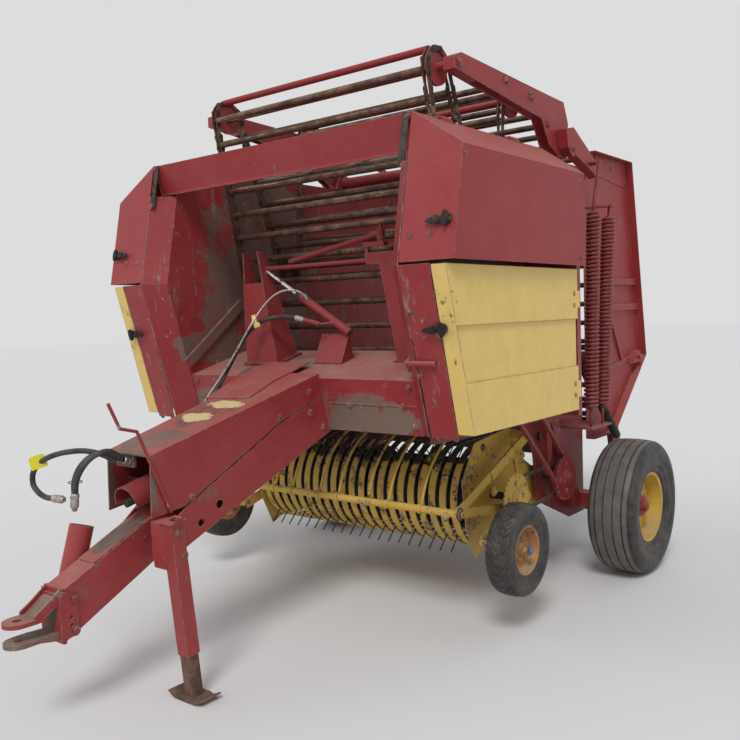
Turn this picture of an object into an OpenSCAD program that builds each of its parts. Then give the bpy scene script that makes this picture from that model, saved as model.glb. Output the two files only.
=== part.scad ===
// Towed chain and slat round baler, parked on its two road wheels and its tongue jack.
// X points to the machine's left, Y to its rear and Z up; all sizes are millimetres.
// Side outlines are lists of [y, z] points, plan outlines are lists of [x, y] points.

/* [Overall] */
// Foremost point of the drawbar clevis
front_y = -2160; // [-2300:10:-2100]
// Rearmost point of the tailgate
rear_y = 2160; // [2100:10:2300]
// Sheet metal thickness of walls and covers
sheet_t = 5; // [3:1:8]
// Clearance between pieces that seat on one another
seat_gap = 0.3; // [0.2:0.1:1]
// Radial clearance of a turning fit
fit_gap = 0.08; // [0.04:0.01:0.1]

/* [Bale chamber] */
// Half the width between the chamber walls
wall_x = 780; // [740:5:800]
// Half the width at the flared front opening
mouth_x = 880; // [860:5:900]
// Height of the top edge of the chamber walls
wall_top_z = 2440; // [2400:5:2480]
// Height of the kink in the front edge
kink_z = 1780; // [1740:5:1800]
// Height of the lower front corner
sill_z = 1020; // [1000:5:1060]
// Front edge at the top
mouth_top_y = -680; // [-700:5:-660]
// Front edge at the kink
mouth_kink_y = -810; // [-830:5:-790]
// Front edge at the lower corner
mouth_sill_y = -610; // [-630:5:-590]
// Depth of the flare, front to back
flare_dy = 100; // [80:5:120]
// Rear edge of the fixed walls
wall_rear_y = 1230; // [1210:5:1240]

/* [Side covers] */
// Outer plane of the upper covers
cover_x = 1165; // [1150:5:1180]
// Outer plane of the lower doors
door_x = 1125; // [1115:5:1135]
// Height of the outer top edge of the upper covers
cover_top_z = 2260; // [2230:5:2280]
// Rear edge of the covers and doors
cover_rear_y = 460; // [440:5:480]
// Lower edge of the doors
door_bottom_z = 1040; // [1030:5:1060]
// Depth of the recessed band in the doors
door_recess = 12; // [6:1:16]

/* [Running gear] */
// Half the track of the road wheels
track_x = 1140; // [1130:5:1150]
// Fore and aft place of the axle
axle_y = 1140; // [1120:5:1160]
// Outer diameter of the road tyres
tyre_d = 785; // [770:5:800]
// Section width of the road tyres
tyre_w = 280; // [260:5:290]
// Diameter of the road wheel rim flanges
rim_d = 420; // [410:5:430]

/* [Tongue] */
// Half the width of the tongue at its mouth
tongue_front_x = 150; // [140:5:160]
// Extra half width of the tongue at its rear end
tongue_flare = 45; // [30:5:60]
// Height of the middle of the clevis jaw
hitch_z = 417; // [405:1:430]
// Clear height of the clevis jaw
jaw_gap = 60; // [50:2:66]
// Diameter of the hitch pin hole
hitch_pin_d = 33; // [26:0.5:36]
// Width of the clevis plates
clevis_w = 110; // [100:5:120]

/* [Jack] */
// Sideways place of the jack
jack_x = 262; // [258:1:270]
// Outer width of the square jack tube
jack_tube_w = 64; // [60:1:70]
// Wall thickness of the jack tube
jack_wall = 5; // [4:0.5:6]
// Lean of the jack, its foot to the rear
jack_lean = 5.5; // [4:0.5:7]

/* [Pickup] */
// Fore and aft place of the reel axis
reel_y = 170; // [160:5:180]
// Height of the reel axis
reel_z = 595; // [590:5:605]
// Outer radius of the stripper bands
band_r = 280; // [275:1:285]
// Number of stripper bands
band_n = 21; // [21:1:23]
// Width of one stripper band
band_w = 42; // [38:1:44]
// Half the width covered by the bands
band_span_x = 700; // [690:5:705]
// Radius of the circle of the tine tips
tine_tip_r = 375; // [370:1:380]
// Diameter of a tine
tine_d = 7; // [6:0.5:8]
// Number of tine bars
tine_bars = 4; // [4:1:5]
// Half the track of the pickup's gauge wheels
gauge_x = 1055; // [1050:5:1060]
// Outer diameter of the gauge tyres
gauge_d = 450; // [440:5:460]
// Width of the gauge tyres
gauge_w = 135; // [120:5:140]
// Fore and aft place of the gauge wheels
gauge_y = -125; // [-135:5:-115]
// Height of the gauge wheel spindles with the pickup raised
gauge_z = 419; // [410:1:430]

/* [Apron] */
// Half the distance between the two chains
chain_x = 735; // [725:1:740]
// Pitch of the slats along the chains
slat_pitch = 136; // [120:2:160]
// Diameter of the slats
slat_d = 36; // [32:1:40]
// Thickness of a chain side plate
link_t = 6; // [5:1:8]
// Height of a chain side plate
link_h = 26; // [22:1:30]
// Pitch of the chain joints
link_pitch = 68; // [60:1:80]

/* [Springs and cylinders] */
// Outer diameter of the apron springs
spring_d = 88; // [80:1:90]
// Sideways place of the springs
spring_x = 985; // [980:1:990]
// Sideways place of the tailgate cylinders
gate_cyl_x = 900; // [896:1:904]
// Barrel diameter of the tailgate cylinders
gate_cyl_d = 56; // [50:1:60]
// Rod diameter of the tailgate cylinders
gate_rod_d = 32; // [28:1:36]

/* [Hidden] */
$fn = 48;

red = [0.50, 0.09, 0.10];
yellow = [0.85, 0.69, 0.27];
steel = [0.33, 0.28, 0.24];
rubber = [0.13, 0.13, 0.13];

// Front edge of the flange, [y, z] from the top down, and the same edge behind the flare
mouth_edge = [[mouth_top_y, wall_top_z], [mouth_kink_y, kink_z], [mouth_sill_y, sill_z]];
flare_top_z = 2270;
flare_edge = [for (p = mouth_edge) [p[0] + flare_dy, p[1]]];
hinge_y = 1370;
hinge_z = 2450;
pin_d = 30;

// Sprockets of the apron: [y, z, pitch radius, turn], turn 1 where the chain runs round the outside
front_low = [80, 1200, 110, 1];
arm_front = [-250, 2742, 92, 1];
frame_idler = [240, 1900, 85, -1];
arm_rear = [470, 2712, 98, 1];
gate_top = [1800, 2360, 98, 1];
gate_rear = [1960, 1290, 98, 1];
gate_low = [1520, 930, 98, 1];

// Pickup pivot, which is also the drive shaft under the chamber
pivot_y = 690;
pivot_z = 615;
side_plate_x = band_span_x + 35;

// Tailgate cylinder pins, [y, z]
barrel_pin = [710, 1497];
rod_pin = [1640, 604];

// Hitch pin hole, so that the rounded tip of the clevis is the foremost point
hitch_y = front_y + clevis_w / 2;

// Tongue outlines
tongue_mouth_y = -1580;
tongue_rear_y = -570;
tongue_slope = 14.7;

function lerp(a, b, t) = a + (b - a) * t;
function dist(a, b) = norm(b - a);

// Plate with a side outline, from x0 outwards to x0 + t
module side_plate(points, x0, t) {
    translate([x0, 0, 0]) rotate([90, 0, 90]) linear_extrude(height = t) polygon(points);
}

// Round bar along X between x0 and x1
module rod_x(y, z, x0, x1, d) {
    translate([x0, y, z]) rotate([0, 90, 0]) cylinder(h = x1 - x0, d = d);
}

// Round bar between two points
module rod(a, b, d) {
    v = b - a;
    l = norm(v);
    translate(a) rotate([0, acos(v[2] / l), atan2(v[1], v[0])]) cylinder(h = l, d = d);
}

// Flat bar seen from the side, w high, between two [y, z] points, x0 to x0 + t
module side_bar(a, b, w, x0, t) {
    d = (b - a) / norm(b - a);
    n = [-d[1], d[0]] * w / 2;
    side_plate([a - n, b - n, b + n, a + n], x0, t);
}

// Folded sheet panel: four corners in a plane, thickened by the vector v
module panel(corners, v) {
    p = cross(corners[1] - corners[0], corners[2] - corners[1]) * v > 0 ? corners
        : [corners[3], corners[2], corners[1], corners[0]];
    polyhedron(points = [p[0], p[1], p[2], p[3], p[0] + v, p[1] + v, p[2] + v, p[3] + v],
               faces = [[0, 1, 2, 3], [7, 6, 5, 4], [0, 4, 5, 1], [1, 5, 6, 2], [2, 6, 7, 3], [3, 7, 4, 0]]);
}

// Both sides of the machine, or one side: s = 1 left, s = -1 right
module on_side(s) {
    if (s > 0) children();
    else mirror([1, 0, 0]) children();
}

module both_sides() {
    on_side(1) children();
    on_side(-1) children();
}

// Outward point of the flared wall at the front edge, i = 0 top, 1 kink, 2 sill
function mouth_pt(i, x) = [x, mouth_edge[i][0], mouth_edge[i][1]];
function flare_pt(i) = [wall_x, flare_edge[i][0], flare_edge[i][1]];
flare_t = (flare_top_z - kink_z) / (wall_top_z - kink_z);
mouth_high = lerp(mouth_pt(1, mouth_x), mouth_pt(0, mouth_x), flare_t);
flare_high = lerp(flare_pt(1), flare_pt(0), flare_t);

post_y = cover_rear_y + 20;
post_x = 1100;
post_top_z = cover_top_z - 30;
gate_lug_y = hinge_y + 60;

wall_outline = [flare_edge[0], [hinge_y - 60, wall_top_z], [hinge_y - 40, hinge_z + 50],
                [hinge_y + 45, hinge_z + 50], [hinge_y + 45, hinge_z - 40], [wall_rear_y, 2330],
                [wall_rear_y, 480], [axle_y + 90, 300], [axle_y - 120, 300], [600, 480], [560, 760],
                [470, 950], [400, 960], [-250, 965], flare_edge[2], flare_edge[1]];
axle_z = tyre_d / 2;
axle_box = 100;
boss_x = gate_cyl_x - gate_cyl_d / 2 - 2;
spring_shelf_x = spring_x + 35;
hinge_pin_d = 12;
cover_hinge = [mouth_x + 6, wall_top_z + 8];
door_hinge = [door_x - 8, cover_rear_y - 4];
// Stations of the hinges: along y on the covers, along z on the doors
cover_hinges = [-420, 220];
door_hinges = [1150, 1620];
knuckle = 60;

module chamber_wall() {
    color(red) {
        difference() {
            union() {
                side_plate(wall_outline, wall_x, sheet_t);
                // Outer rails of the lower frame
                side_bar([-460, 1000], [760, 980], 70, wall_x + sheet_t, 50);
                side_bar([700, 1000], [axle_y - 80, 380], 80, wall_x + sheet_t, 50);
            }
            translate([wall_x - 20, axle_y - axle_box / 2 - seat_gap, axle_z - axle_box / 2 - seat_gap])
                cube([100, axle_box + 2 * seat_gap, axle_box + 2 * seat_gap]);
            rod_x(hinge_y, hinge_z, wall_x - 10, wall_x + 20, pin_d);
            for (s = [front_low, frame_idler])
                rod_x(s[0], s[1], wall_x - 10, wall_x + 20, idler_shaft_d + 2 * seat_gap);
            rod_x(pivot_y, pivot_z, wall_x - 10, wall_x + 80, cross_shaft_d + 2 * seat_gap);
            rod_x(roll_y, roll_z, wall_x - 10, wall_x + 80, roll_shaft_d + 2 * fit_gap);
        }
        panel([mouth_high, flare_high, flare_pt(1), mouth_pt(1, mouth_x)], [sheet_t, 0, 0]);
        panel([mouth_pt(1, mouth_x), flare_pt(1), flare_pt(2), mouth_pt(2, mouth_x)], [sheet_t, 0, 0]);
        // Fixed front face below the kink
        panel([mouth_pt(1, mouth_x), mouth_pt(2, mouth_x + 20), mouth_pt(2, 1036), mouth_pt(1, 1044)],
              [0, sheet_t, 0]);
        // Post behind the covers
        side_plate([[post_y, 1000], [post_y + sheet_t, 1000], [post_y + sheet_t, post_top_z], [post_y, post_top_z]],
                   wall_x + sheet_t, post_x - wall_x - sheet_t);
        side_plate([[post_y, 1000], [post_y + 40, 1000], [post_y + 40, post_top_z], [post_y, post_top_z]],
                   post_x, sheet_t);
        // Top rail that carries the cover hinges
        side_plate([[-560, wall_top_z - sheet_t], [post_y, wall_top_z - sheet_t], [post_y, wall_top_z],
                    [-560, wall_top_z]], wall_x + sheet_t, cover_hinge[0] - wall_x - sheet_t - 14);
        // Diagonal flange on the inner face, from the deck up to the rear
        side_bar([-600, 1329], [-150, 1676], 56, wall_x - 18, 18);
        // Post of the lower frame in front of the axle
        side_plate([[590, 640], [640, 640], [620, 960], [570, 960]], wall_x + sheet_t + 50, 34);
        side_plate([[560, 930], [660, 930], [660, 980], [560, 980]], wall_x + sheet_t + 49, 20);
        // Boss of the cylinder pin
        rod_x(barrel_pin[0], barrel_pin[1], wall_x + sheet_t, boss_x, 70);
        // Hanger and foot shelf of the springs
        side_plate([[1170, spring_hanger_z], [1228, spring_hanger_z], [1228, spring_hanger_z + 10], [1170, spring_hanger_z + 10]], wall_x + sheet_t,
                   spring_shelf_x - wall_x - sheet_t);
        side_plate([[850, spring_shelf_z - 12], [1130, spring_shelf_z - 12], [1130, spring_shelf_z], [850, spring_shelf_z]], wall_x + sheet_t,
                   spring_shelf_x - wall_x - sheet_t);
    }
    color(steel) {
        rod_x(barrel_pin[0], barrel_pin[1], boss_x, gate_cyl_x + 38, pin_d);
        // Hinge pins of the covers and doors with their lugs
        for (y = cover_hinges) {
            translate([cover_hinge[0], y - knuckle, cover_hinge[1]]) rotate([-90, 0, 0])
                cylinder(h = 2 * knuckle, d = hinge_pin_d);
            for (k = [-knuckle, knuckle - 15])
                translate([cover_hinge[0] - 16, y + k, cover_hinge[1] - 12]) cube([16, 15, 20]);
        }
        for (z = door_hinges) {
            translate([door_hinge[0], door_hinge[1], z - knuckle]) cylinder(h = 2 * knuckle, d = hinge_pin_d);
            for (k = [-knuckle, knuckle - 15])
                translate([post_x - 8, door_hinge[1] - 2, z + k]) cube([20, post_y - door_hinge[1] + 2, 15]);
        }
    }
}

module wall_left() { chamber_wall(); }
module wall_right() { on_side(-1) chamber_wall(); }

beam_depth = 70;
beam_drop_y = 32;
beam_back = 24;
module front_beam() {
    bottom_z = flare_top_z + 10;
    top_y = mouth_top_y;
    low_y = mouth_top_y + beam_drop_y + 10;
    lean = (mouth_top_y - mouth_kink_y) / (wall_top_z - kink_z);
    back_y = flare_edge[0][0] - 12 * lean - seat_gap;
    low_back_y = low_y + beam_back;
    color(red) difference() {
        side_plate([[top_y, wall_top_z], [back_y, wall_top_z], [back_y, wall_top_z - 12],
                    [back_y - 8, wall_top_z - 12], [low_back_y, bottom_z + 12], [low_back_y, bottom_z],
                    [low_y, bottom_z], [low_y, bottom_z + 14]], -mouth_x + 6, 2 * mouth_x - 12);
        side_plate([[top_y + 8, wall_top_z - sheet_t], [back_y - sheet_t, wall_top_z - sheet_t],
                    [back_y + 20, wall_top_z - 60], [back_y + 20, bottom_z - 1], [low_back_y - sheet_t, bottom_z - 1],
                    [low_back_y - sheet_t, bottom_z + sheet_t],
                    [low_y + 6, bottom_z + sheet_t], [low_y + 6, bottom_z + 16]], -mouth_x, 2 * mouth_x);
    }
    // End straps
    color(steel) both_sides()
        side_plate([[top_y - 4, wall_top_z + 2], [back_y - 2, wall_top_z + 2],
                    [low_back_y, bottom_z - 4], [low_y - 6, bottom_z - 4],
                    [low_y - 6, bottom_z + 14]], mouth_x - 6, 5);
}

deck_y0 = -565;
deck_y1 = -130;
deck_top_z = 1266;
deck_bottom_z = 1001;
deck_lean = 65;
deck_lip = 45;
// Slanted front face of the deck beam at height z, and its sloping top at y
function deck_face(z) = deck_y0 + deck_lean * (deck_top_z - z) / (deck_top_z - deck_bottom_z);
function deck_top(y) = deck_top_z + (y - deck_y0) * tan(tongue_slope);
module deck_beam() {
    low_y = deck_face(deck_bottom_z);
    t = sheet_t;
    color(red) {
        // Folded sheet: front face, sloping top, rear flange and bottom lip
        side_plate([[deck_y0, deck_top_z], [deck_y1, deck_top(deck_y1)], [deck_y1, deck_top(deck_y1) - deck_lip],
                    [deck_y1 - t, deck_top(deck_y1) - deck_lip], [deck_y1 - t, deck_top(deck_y1 - t) - t],
                    [deck_y0 + 1.3 * t, deck_top(deck_y0) - t], [low_y + 1.3 * t, deck_bottom_z + t],
                    [low_y + deck_lip, deck_bottom_z + t], [low_y + deck_lip, deck_bottom_z], [low_y, deck_bottom_z]],
                   -wall_x, 2 * wall_x);
    }
}

// Tongue pieces are drawn for the left side and mirrored
tongue_angle = atan(tongue_flare / (tongue_rear_y - tongue_mouth_y));
// Rear end of the tongue's sides at height z, before they are turned outwards
function tongue_end(z) = tongue_mouth_y
    + (deck_face(min(z, deck_top_z)) - 2 * seat_gap - tongue_mouth_y) / cos(tongue_angle);
module tongue_side(points, t) {
    translate([tongue_front_x, tongue_mouth_y, 0]) rotate([0, 0, -tongue_angle])
        translate([0, -tongue_mouth_y, 0]) side_plate(points, -t, t);
}

mouth_top_z = 1018;
// Lower edge of the tongue, [y, z] at the front bend and the height at the deck
tongue_low = [-1426, 600];
tongue_low_rear_z = 991;
crease_rear_z = 1174;
floor_slope = atan((tongue_low_rear_z - tongue_low[1]) / (tongue_end(tongue_low_rear_z) - tongue_low[0]));
// Underside of the tongue's roof at y
function roof_z(y) = mouth_top_z + (y - tongue_mouth_y - 4) * tan(tongue_slope);
beam_head_y = -1940;
beam_w = 124;
// Holes in the tongue's sides: [y, z, diameter]
side_holes = [[-1329, 693, 34], [-1222, 755, 40]];
module tongue_beam() {
    floor_l = (tongue_end(tongue_low_rear_z) - 12 - tongue_low[0]) / cos(floor_slope);
    floor_rear_x = tongue_front_x + (floor_l * cos(floor_slope) + tongue_low[0] - tongue_mouth_y) * tan(tongue_angle) - 3;
    color(red) {
        both_sides() difference() {
            tongue_side([[-1520, 560], tongue_low, [tongue_end(tongue_low_rear_z), tongue_low_rear_z],
                         [tongue_end(crease_rear_z), crease_rear_z], [-830, 1073], [-1406, 776], [-1520, 690]], 8);
            // Holes in the sides
            for (h = side_holes) rod_x(h[0], h[1], tongue_front_x - 40, tongue_front_x + 60, h[2]);
        }
        // Floor of the tongue
        translate([0, tongue_low[0], tongue_low[1]]) rotate([floor_slope, 0, 0])
            linear_extrude(height = 8)
                polygon([[-tongue_front_x - 3, 0], [tongue_front_x + 3, 0], [floor_rear_x, floor_l],
                         [-floor_rear_x, floor_l]]);
        // Hitch extension
        side_plate([[beam_head_y, 345], [beam_head_y, 549], [-1474, 765], [-1300, 800], [-1250, 660],
                    [-1426, 600], [-1664, 482]], -beam_w / 2, beam_w);
        // Worn plate on its top
        side_plate([[-1800, 614], [-1800, 620], [-1560, 731.5], [-1560, 725]], -beam_w / 2 + 6, beam_w - 12);
        // Head plate
        side_plate([[beam_head_y - 14, 335], [beam_head_y - 14, 555], [beam_head_y, 555],
                    [beam_head_y, 335]], -beam_w / 2, beam_w);
    }
}

module tongue_cover() {
    roof_l = (tongue_rear_y - tongue_mouth_y) / cos(tongue_slope);
    color(red) {
        both_sides() tongue_side([[-1580, 763], [-1574, mouth_top_z], [tongue_end(deck_top_z), roof_z(tongue_rear_y) + 2],
                                  [tongue_end(deck_top_z), deck_top_z - 4], [tongue_end(crease_rear_z + 4), crease_rear_z + 4],
                                  [-832, 1080], [-1408, 784]], 6);
        translate([0, tongue_mouth_y + 4, mouth_top_z]) rotate([tongue_slope, 0, 0]) {
            linear_extrude(height = 6)
                polygon([[-tongue_front_x, 0], [tongue_front_x, 0], [tongue_front_x + tongue_flare, roof_l],
                         [-tongue_front_x - tongue_flare, roof_l]]);
            // Cover plate that reaches on over the deck, wider on the right
            translate([0, 0, 5.5]) linear_extrude(height = 6.5) polygon(cover_plate);
        }
        // Clamp of the hoses, under the roof's front edge
        translate([-100, hose_clamp_y, 962]) cube([120, 14, roof_z(hose_clamp_y) + 2 - 962]);
    }
}

// Plan of the cover plate, [x, length along the roof]
cover_plate = [[-207, 640], [40, 660], [66, 672], [62, 700], [12, 900], [0, 1130], [0, 1196], [-300, 1196],
               [-300, 1030], [-292, 965]];
hose_clamp_y = -1562;

clevis_t = 18;
// Cheek plates of the clevis: holes [y, z, diameter]
cheek_holes = [[-1922, 436, 18], [-1922, 405, 18]];
module clevis_plate(z, rear_z) {
    hull() {
        translate([0, hitch_y, z]) cylinder(h = clevis_t, d = clevis_w, $fn = 32);
        translate([-clevis_w / 2, hitch_y + 60, z]) cube([clevis_w, 10, clevis_t]);
    }
    side_plate([[hitch_y + 60, z], [beam_head_y - 14 - seat_gap, rear_z], [beam_head_y - 14 - seat_gap, rear_z + clevis_t + 14],
                [hitch_y + 60, z + clevis_t]], -clevis_w / 2, clevis_w);
}

module clevis() {
    lower_z = hitch_z - jaw_gap / 2 - clevis_t;
    upper_z = hitch_z + jaw_gap / 2;
    cheek_x = beam_w / 2 + seat_gap;
    back_y = beam_head_y - 14;
    color(red) difference() {
        union() {
            clevis_plate(lower_z, 350);
            clevis_plate(upper_z, 500);
            side_plate([[back_y - 12, 350], [back_y - seat_gap, 350], [back_y - seat_gap, 532],
                        [back_y - 12, 532]], -cheek_x - 8, 2 * cheek_x + 16);
            both_sides() {
                // Side flanges of the upper prong
                side_plate([[hitch_y + 40, upper_z + 2], [back_y - 1, 502], [back_y - 1, 552], [hitch_y + 90, upper_z + 62],
                            [hitch_y + 40, upper_z + clevis_t + 12]], clevis_w / 2 - 8, 8);
                // Cheeks on the sides of the drawbar
                side_plate([[back_y - 6, 352], [back_y + 62, 360], [back_y + 62, 520], [back_y - 6, 548]], cheek_x, 8);
            }
        }
        translate([0, hitch_y, lower_z - 40]) cylinder(h = 200, d = hitch_pin_d);
        for (h = cheek_holes) both_sides() rod_x(h[0], h[1], cheek_x - 1, cheek_x + 12, h[2]);
    }
}

hub_d = 120;
spindle_d = 50;
module axle_beam() {
    color(red) translate([-950, axle_y - axle_box / 2, axle_z - axle_box / 2]) cube([1900, axle_box, axle_box]);
    color(steel) rod_x(axle_y, axle_z, -track_x - 40, track_x + 40, spindle_d);
}

gearbox_l = 150;
gearbox_top_z = 1185;
module gearbox() {
    color(steel) side_plate([[deck_y0 - gearbox_l, deck_bottom_z + 9], [deck_face(deck_bottom_z + 9) - seat_gap, deck_bottom_z + 9],
                             [deck_face(gearbox_top_z) - seat_gap, gearbox_top_z], [deck_y0 - gearbox_l, gearbox_top_z]],
                            -130, 260);
}

drive_sprocket_r = 120;
// Inner face of the side drive's discs
drive_x0 = wall_x + 125;
cross_shaft_d = 44;
idler_shaft_d = 50;
roll_y = 640;
roll_z = 850;
roll_d = 200;
roll_shaft_d = 50;
module cross_shafts() {
    color(steel) {
        rod_x(pivot_y, pivot_z, -wall_x - 60, drive_x0 - seat_gap, cross_shaft_d);
        rod_x(front_low[0], front_low[1], -wall_x - 30, drive_x0 - seat_gap, idler_shaft_d);
        rod_x(frame_idler[0], frame_idler[1], -wall_x - 20, wall_x + 20, idler_shaft_d);
        for (s = [front_low, frame_idler]) both_sides() sprocket(s);
    }
    color(red) rod_x(pivot_y, pivot_z, reel_drive_x + 1, reel_drive_x + 13, 2 * cross_drive_r);
}

module drive_left() {
    color(red) {
        rod_x(pivot_y, pivot_z, drive_x0, drive_x0 + 20, 2 * drive_sprocket_r);
        rod_x(front_low[0], front_low[1], drive_x0, drive_x0 + 20, 260);
    }
    color(steel) {
        side_bar([pivot_y - drive_sprocket_r, pivot_z], [front_low[0] - 130, front_low[1]], 20,
                 drive_x0, 20);
        side_bar([pivot_y + drive_sprocket_r, pivot_z], [front_low[0] + 130, front_low[1]], 20,
                 drive_x0, 20);
    }
}

arm_x0 = 800;
arm_w = 64;
arm_pivot = [850, 2482];
module takeup_arms() {
    color(red) both_sides() {
        difference() {
            side_plate([[-285, 2712], [-285, 2770], [-225, 2795], [710, 2757], [870, 2752], [925, 2640],
                        [900, arm_pivot[1] - 45], [800, arm_pivot[1] - 45], [680, 2490], [590, 2618]],
                       arm_x0, arm_w);
            side_plate([[-150, 2724], [-150, 2738], [600, 2634], [720, 2500], [800, 2440], [800, 2400],
                        [500, 2400]], arm_x0 + 8, arm_w - 16);
        }
        // Rear lever
        side_plate([[770, 2580], [860, 2600], [1230, 2412], [1236, 2364], [1190, 2350], [790, 2480]],
                   arm_x0 + arm_w + 4, 60);
        rod_x(arm_pivot[0], arm_pivot[1], arm_x0 + arm_w, arm_x0 + arm_w + 64, 90);
    }
    // Bearing posts of the pivot tube
    color(red) both_sides()
        side_plate([[arm_pivot[0] - 90, wall_top_z + seat_gap], [arm_pivot[0] + 90, wall_top_z + seat_gap],
                    [arm_pivot[0] + 50, arm_pivot[1] + 50], [arm_pivot[0] - 50, arm_pivot[1] + 50]],
                   wall_x - 15, 20);
    color(steel) rod_x(arm_pivot[0], arm_pivot[1], -arm_x0, arm_x0, 76);
}

// Sprocket disc that fills the width between the side plates of its chain
module sprocket(s) {
    rod_x(s[0], s[1], chain_x - 10 + seat_gap, chain_x + 10 - seat_gap, 2 * s[2] - pin_link_d - 3);
}

module takeup_shafts() {
    color(red) for (s = [arm_front, arm_rear]) rod_x(s[0], s[1], -arm_x0, arm_x0, 42);
    color(steel) for (s = [arm_front, arm_rear]) both_sides() sprocket(s);
}

// Apron path: the outer tangent points between sprockets.
// For sprockets a and b with turn signs, the straight run leaves a and meets b at these points.
function tangent(a, b) =
    let (d = [b[0] - a[0], b[1] - a[1]], l = norm(d), ra = a[2] * a[3], rb = b[2] * b[3],
         base = atan2(d[1], d[0]), off = acos((ra - rb) / l), ang = base + off,
         n = [cos(ang), sin(ang)])
    [[a[0], a[1]] + n * ra, [b[0], b[1]] + n * rb];

// Points round a sprocket from an incoming to an outgoing tangent point
function arc_pts(s, p_in, p_out, steps) =
    let (a0 = atan2(p_in[1] - s[1], p_in[0] - s[0]), a1 = atan2(p_out[1] - s[1], p_out[0] - s[0]),
         raw = (a1 - a0) * -s[3], sweep = raw < 0 ? raw + 360 : raw)
    [for (i = [1:steps - 1]) [s[0], s[1]] + s[2] * [cos(a0 - s[3] * sweep * i / steps),
                                                   sin(a0 - s[3] * sweep * i / steps)]];

// Whole path through a list of sprockets, ends given as plain points
function path(list, start, finish) =
    let (n = len(list), t = [for (i = [0:n - 2]) tangent(list[i], list[i + 1])])
    concat([start], arc_pts(list[0], tangent_from(start, list[0]), t[0][0], 8), [t[0][0]],
           [for (i = [0:n - 2]) each concat([t[i][1]],
                i < n - 2 ? concat(arc_pts(list[i + 1], t[i][1], t[i + 1][0], 8), [t[i + 1][0]]) : [])],
           arc_pts(list[n - 1], t[n - 2][1], tangent_from(finish, list[n - 1], -1), 6),
           [tangent_from(finish, list[n - 1], -1), finish]);

function tangent_from(p, s, dir = 1) =
    let (d = [p[0] - s[0], p[1] - s[1]], l = norm(d), base = atan2(d[1], d[0]),
         off = acos(s[2] / l) * dir * s[3])
    [s[0], s[1]] + s[2] * [cos(base - off), sin(base - off)];

// Ribbon along a list of points, w wide
function seg_n(p, i) = let (a = p[max(i - 1, 0)], b = p[min(i + 1, len(p) - 1)], d = (b - a) / norm(b - a))
    [-d[1], d[0]];
module ribbon(p, w, x0, t) {
    side_plate(concat([for (i = [0:len(p) - 1]) p[i] + seg_n(p, i) * w / 2],
                      [for (i = [len(p) - 1:-1:0]) p[i] - seg_n(p, i) * w / 2]), x0, t);
}

// Length along a point list, and the point at a given length
function cum(p) = [for (i = 0, s = 0; i < len(p); s = s + (i < len(p) - 1 ? dist(p[i], p[i + 1]) : 0),
                        i = i + 1) s];
function at(p, c, s) = let (k = max([for (i = [0:len(p) - 2]) if (c[i] <= s) i]))
    lerp(p[k], p[k + 1], (s - c[k]) / max(c[k + 1] - c[k], 0.001));

module apron(p, linked) {
    c = cum(p);
    full = c[len(c) - 1];
    n = floor((full - slat_start - slat_d / 2) / slat_pitch);
    plate_p = linked ? concat([for (i = [0:floor((full - 8) / link_pitch * 2)]) at(p, c, i * link_pitch / 2)], [p[len(p) - 1]]) : p;
    color(steel) {
        both_sides() {
            ribbon(p, link_h, chain_x + 10, link_t);
            side_plate(concat([for (i = [0:len(plate_p) - 1]) plate_p[i] + seg_n(plate_p, i) * waist(i, linked)],
                              [for (i = [len(plate_p) - 1:-1:0]) plate_p[i] - seg_n(plate_p, i) * waist(i, linked)]),
                       chain_x - 10 - link_t, link_t);
        }
        for (i = [0:n]) let (q = at(p, c, slat_start + i * slat_pitch)) {
            rod_x(q[0], q[1], -chain_x + 10 + link_t + seat_gap, chain_x - 10 - link_t - seat_gap, slat_d);
            // Pins that hold the two plates of each chain
            both_sides() translate([chain_x - 11, q[0], q[1]]) rotate([0, 90, 0]) cylinder(h = 22, d = pin_link_d, $fn = 6);
        }
    }
}
pin_link_d = 13;
// Distance of the first slat from the cut end of the chains
slat_start = 30;
// Half height of a link plate: full at a joint, waisted between joints
function waist(i, linked) = linked && i % 2 == 1 ? link_h * 0.32 : link_h / 2;

// The loop is cut at the tailgate hinge: points on the top and bottom runs where each part ends
top_run = tangent(arm_rear, gate_top);
low_run = tangent(gate_low, front_low);
function on_run(r, y) = lerp(r[0], r[1], (y - r[0][0]) / (r[1][0] - r[0][0]));
apron_cut_top = on_run(top_run, hinge_y - 90);
apron_cut_low = on_run(low_run, wall_rear_y - 5);
apron_front_path = path([front_low, arm_front, frame_idler, arm_rear], apron_cut_low, apron_cut_top);
module apron_front() { apron(apron_front_path, true); }

apron_gap_top = on_run(top_run, hinge_y - 20);
apron_gap_low = on_run(low_run, wall_rear_y + 20);
apron_rear_path = path([gate_top, gate_rear, gate_low], apron_gap_top, apron_gap_low);
module apron_rear() { apron(apron_rear_path, false); }

// Springs: [top y, top z, bottom y, bottom z]
// and the height that the top hook reaches
spring_shelf_z = 882;
spring_hanger_z = 2172;
spring_rows = [[990, 2130, 910, 990, 2180], [1205, 2110, 1080, 990, spring_hanger_z - 1.2]];
coil_end = 16;
// Pin that joins the lever and the link of the front spring
link_pin = [1080, 2420];
module spring(row) {
    top = [spring_x, row[0], row[1]];
    low = [spring_x, row[2], row[3]];
    rod(low, top, spring_d);
    u = (top - low) / norm(top - low);
    rod(top, top + u * (row[4] - top[2]) / u[2], coil_end);
    rod(low, low + u * (spring_shelf_z + seat_gap + coil_end * u[1] / 2 - low[2]) / u[2], coil_end);
}

module springs() {
    color(red) {
        spring(spring_rows[0]);
        spring(spring_rows[1]);
        // Link from the lever down to the front spring
        side_bar([spring_rows[0][0] + 4, spring_rows[0][1] + 40], link_pin + [3, 12], 30, spring_x - 8, 16);
        rod_x(link_pin[0], link_pin[1], arm_x0 + arm_w + 64 + seat_gap, spring_x, 24);
    }
}

module springs_left() { springs(); }
module springs_right() { on_side(-1) springs(); }

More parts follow.
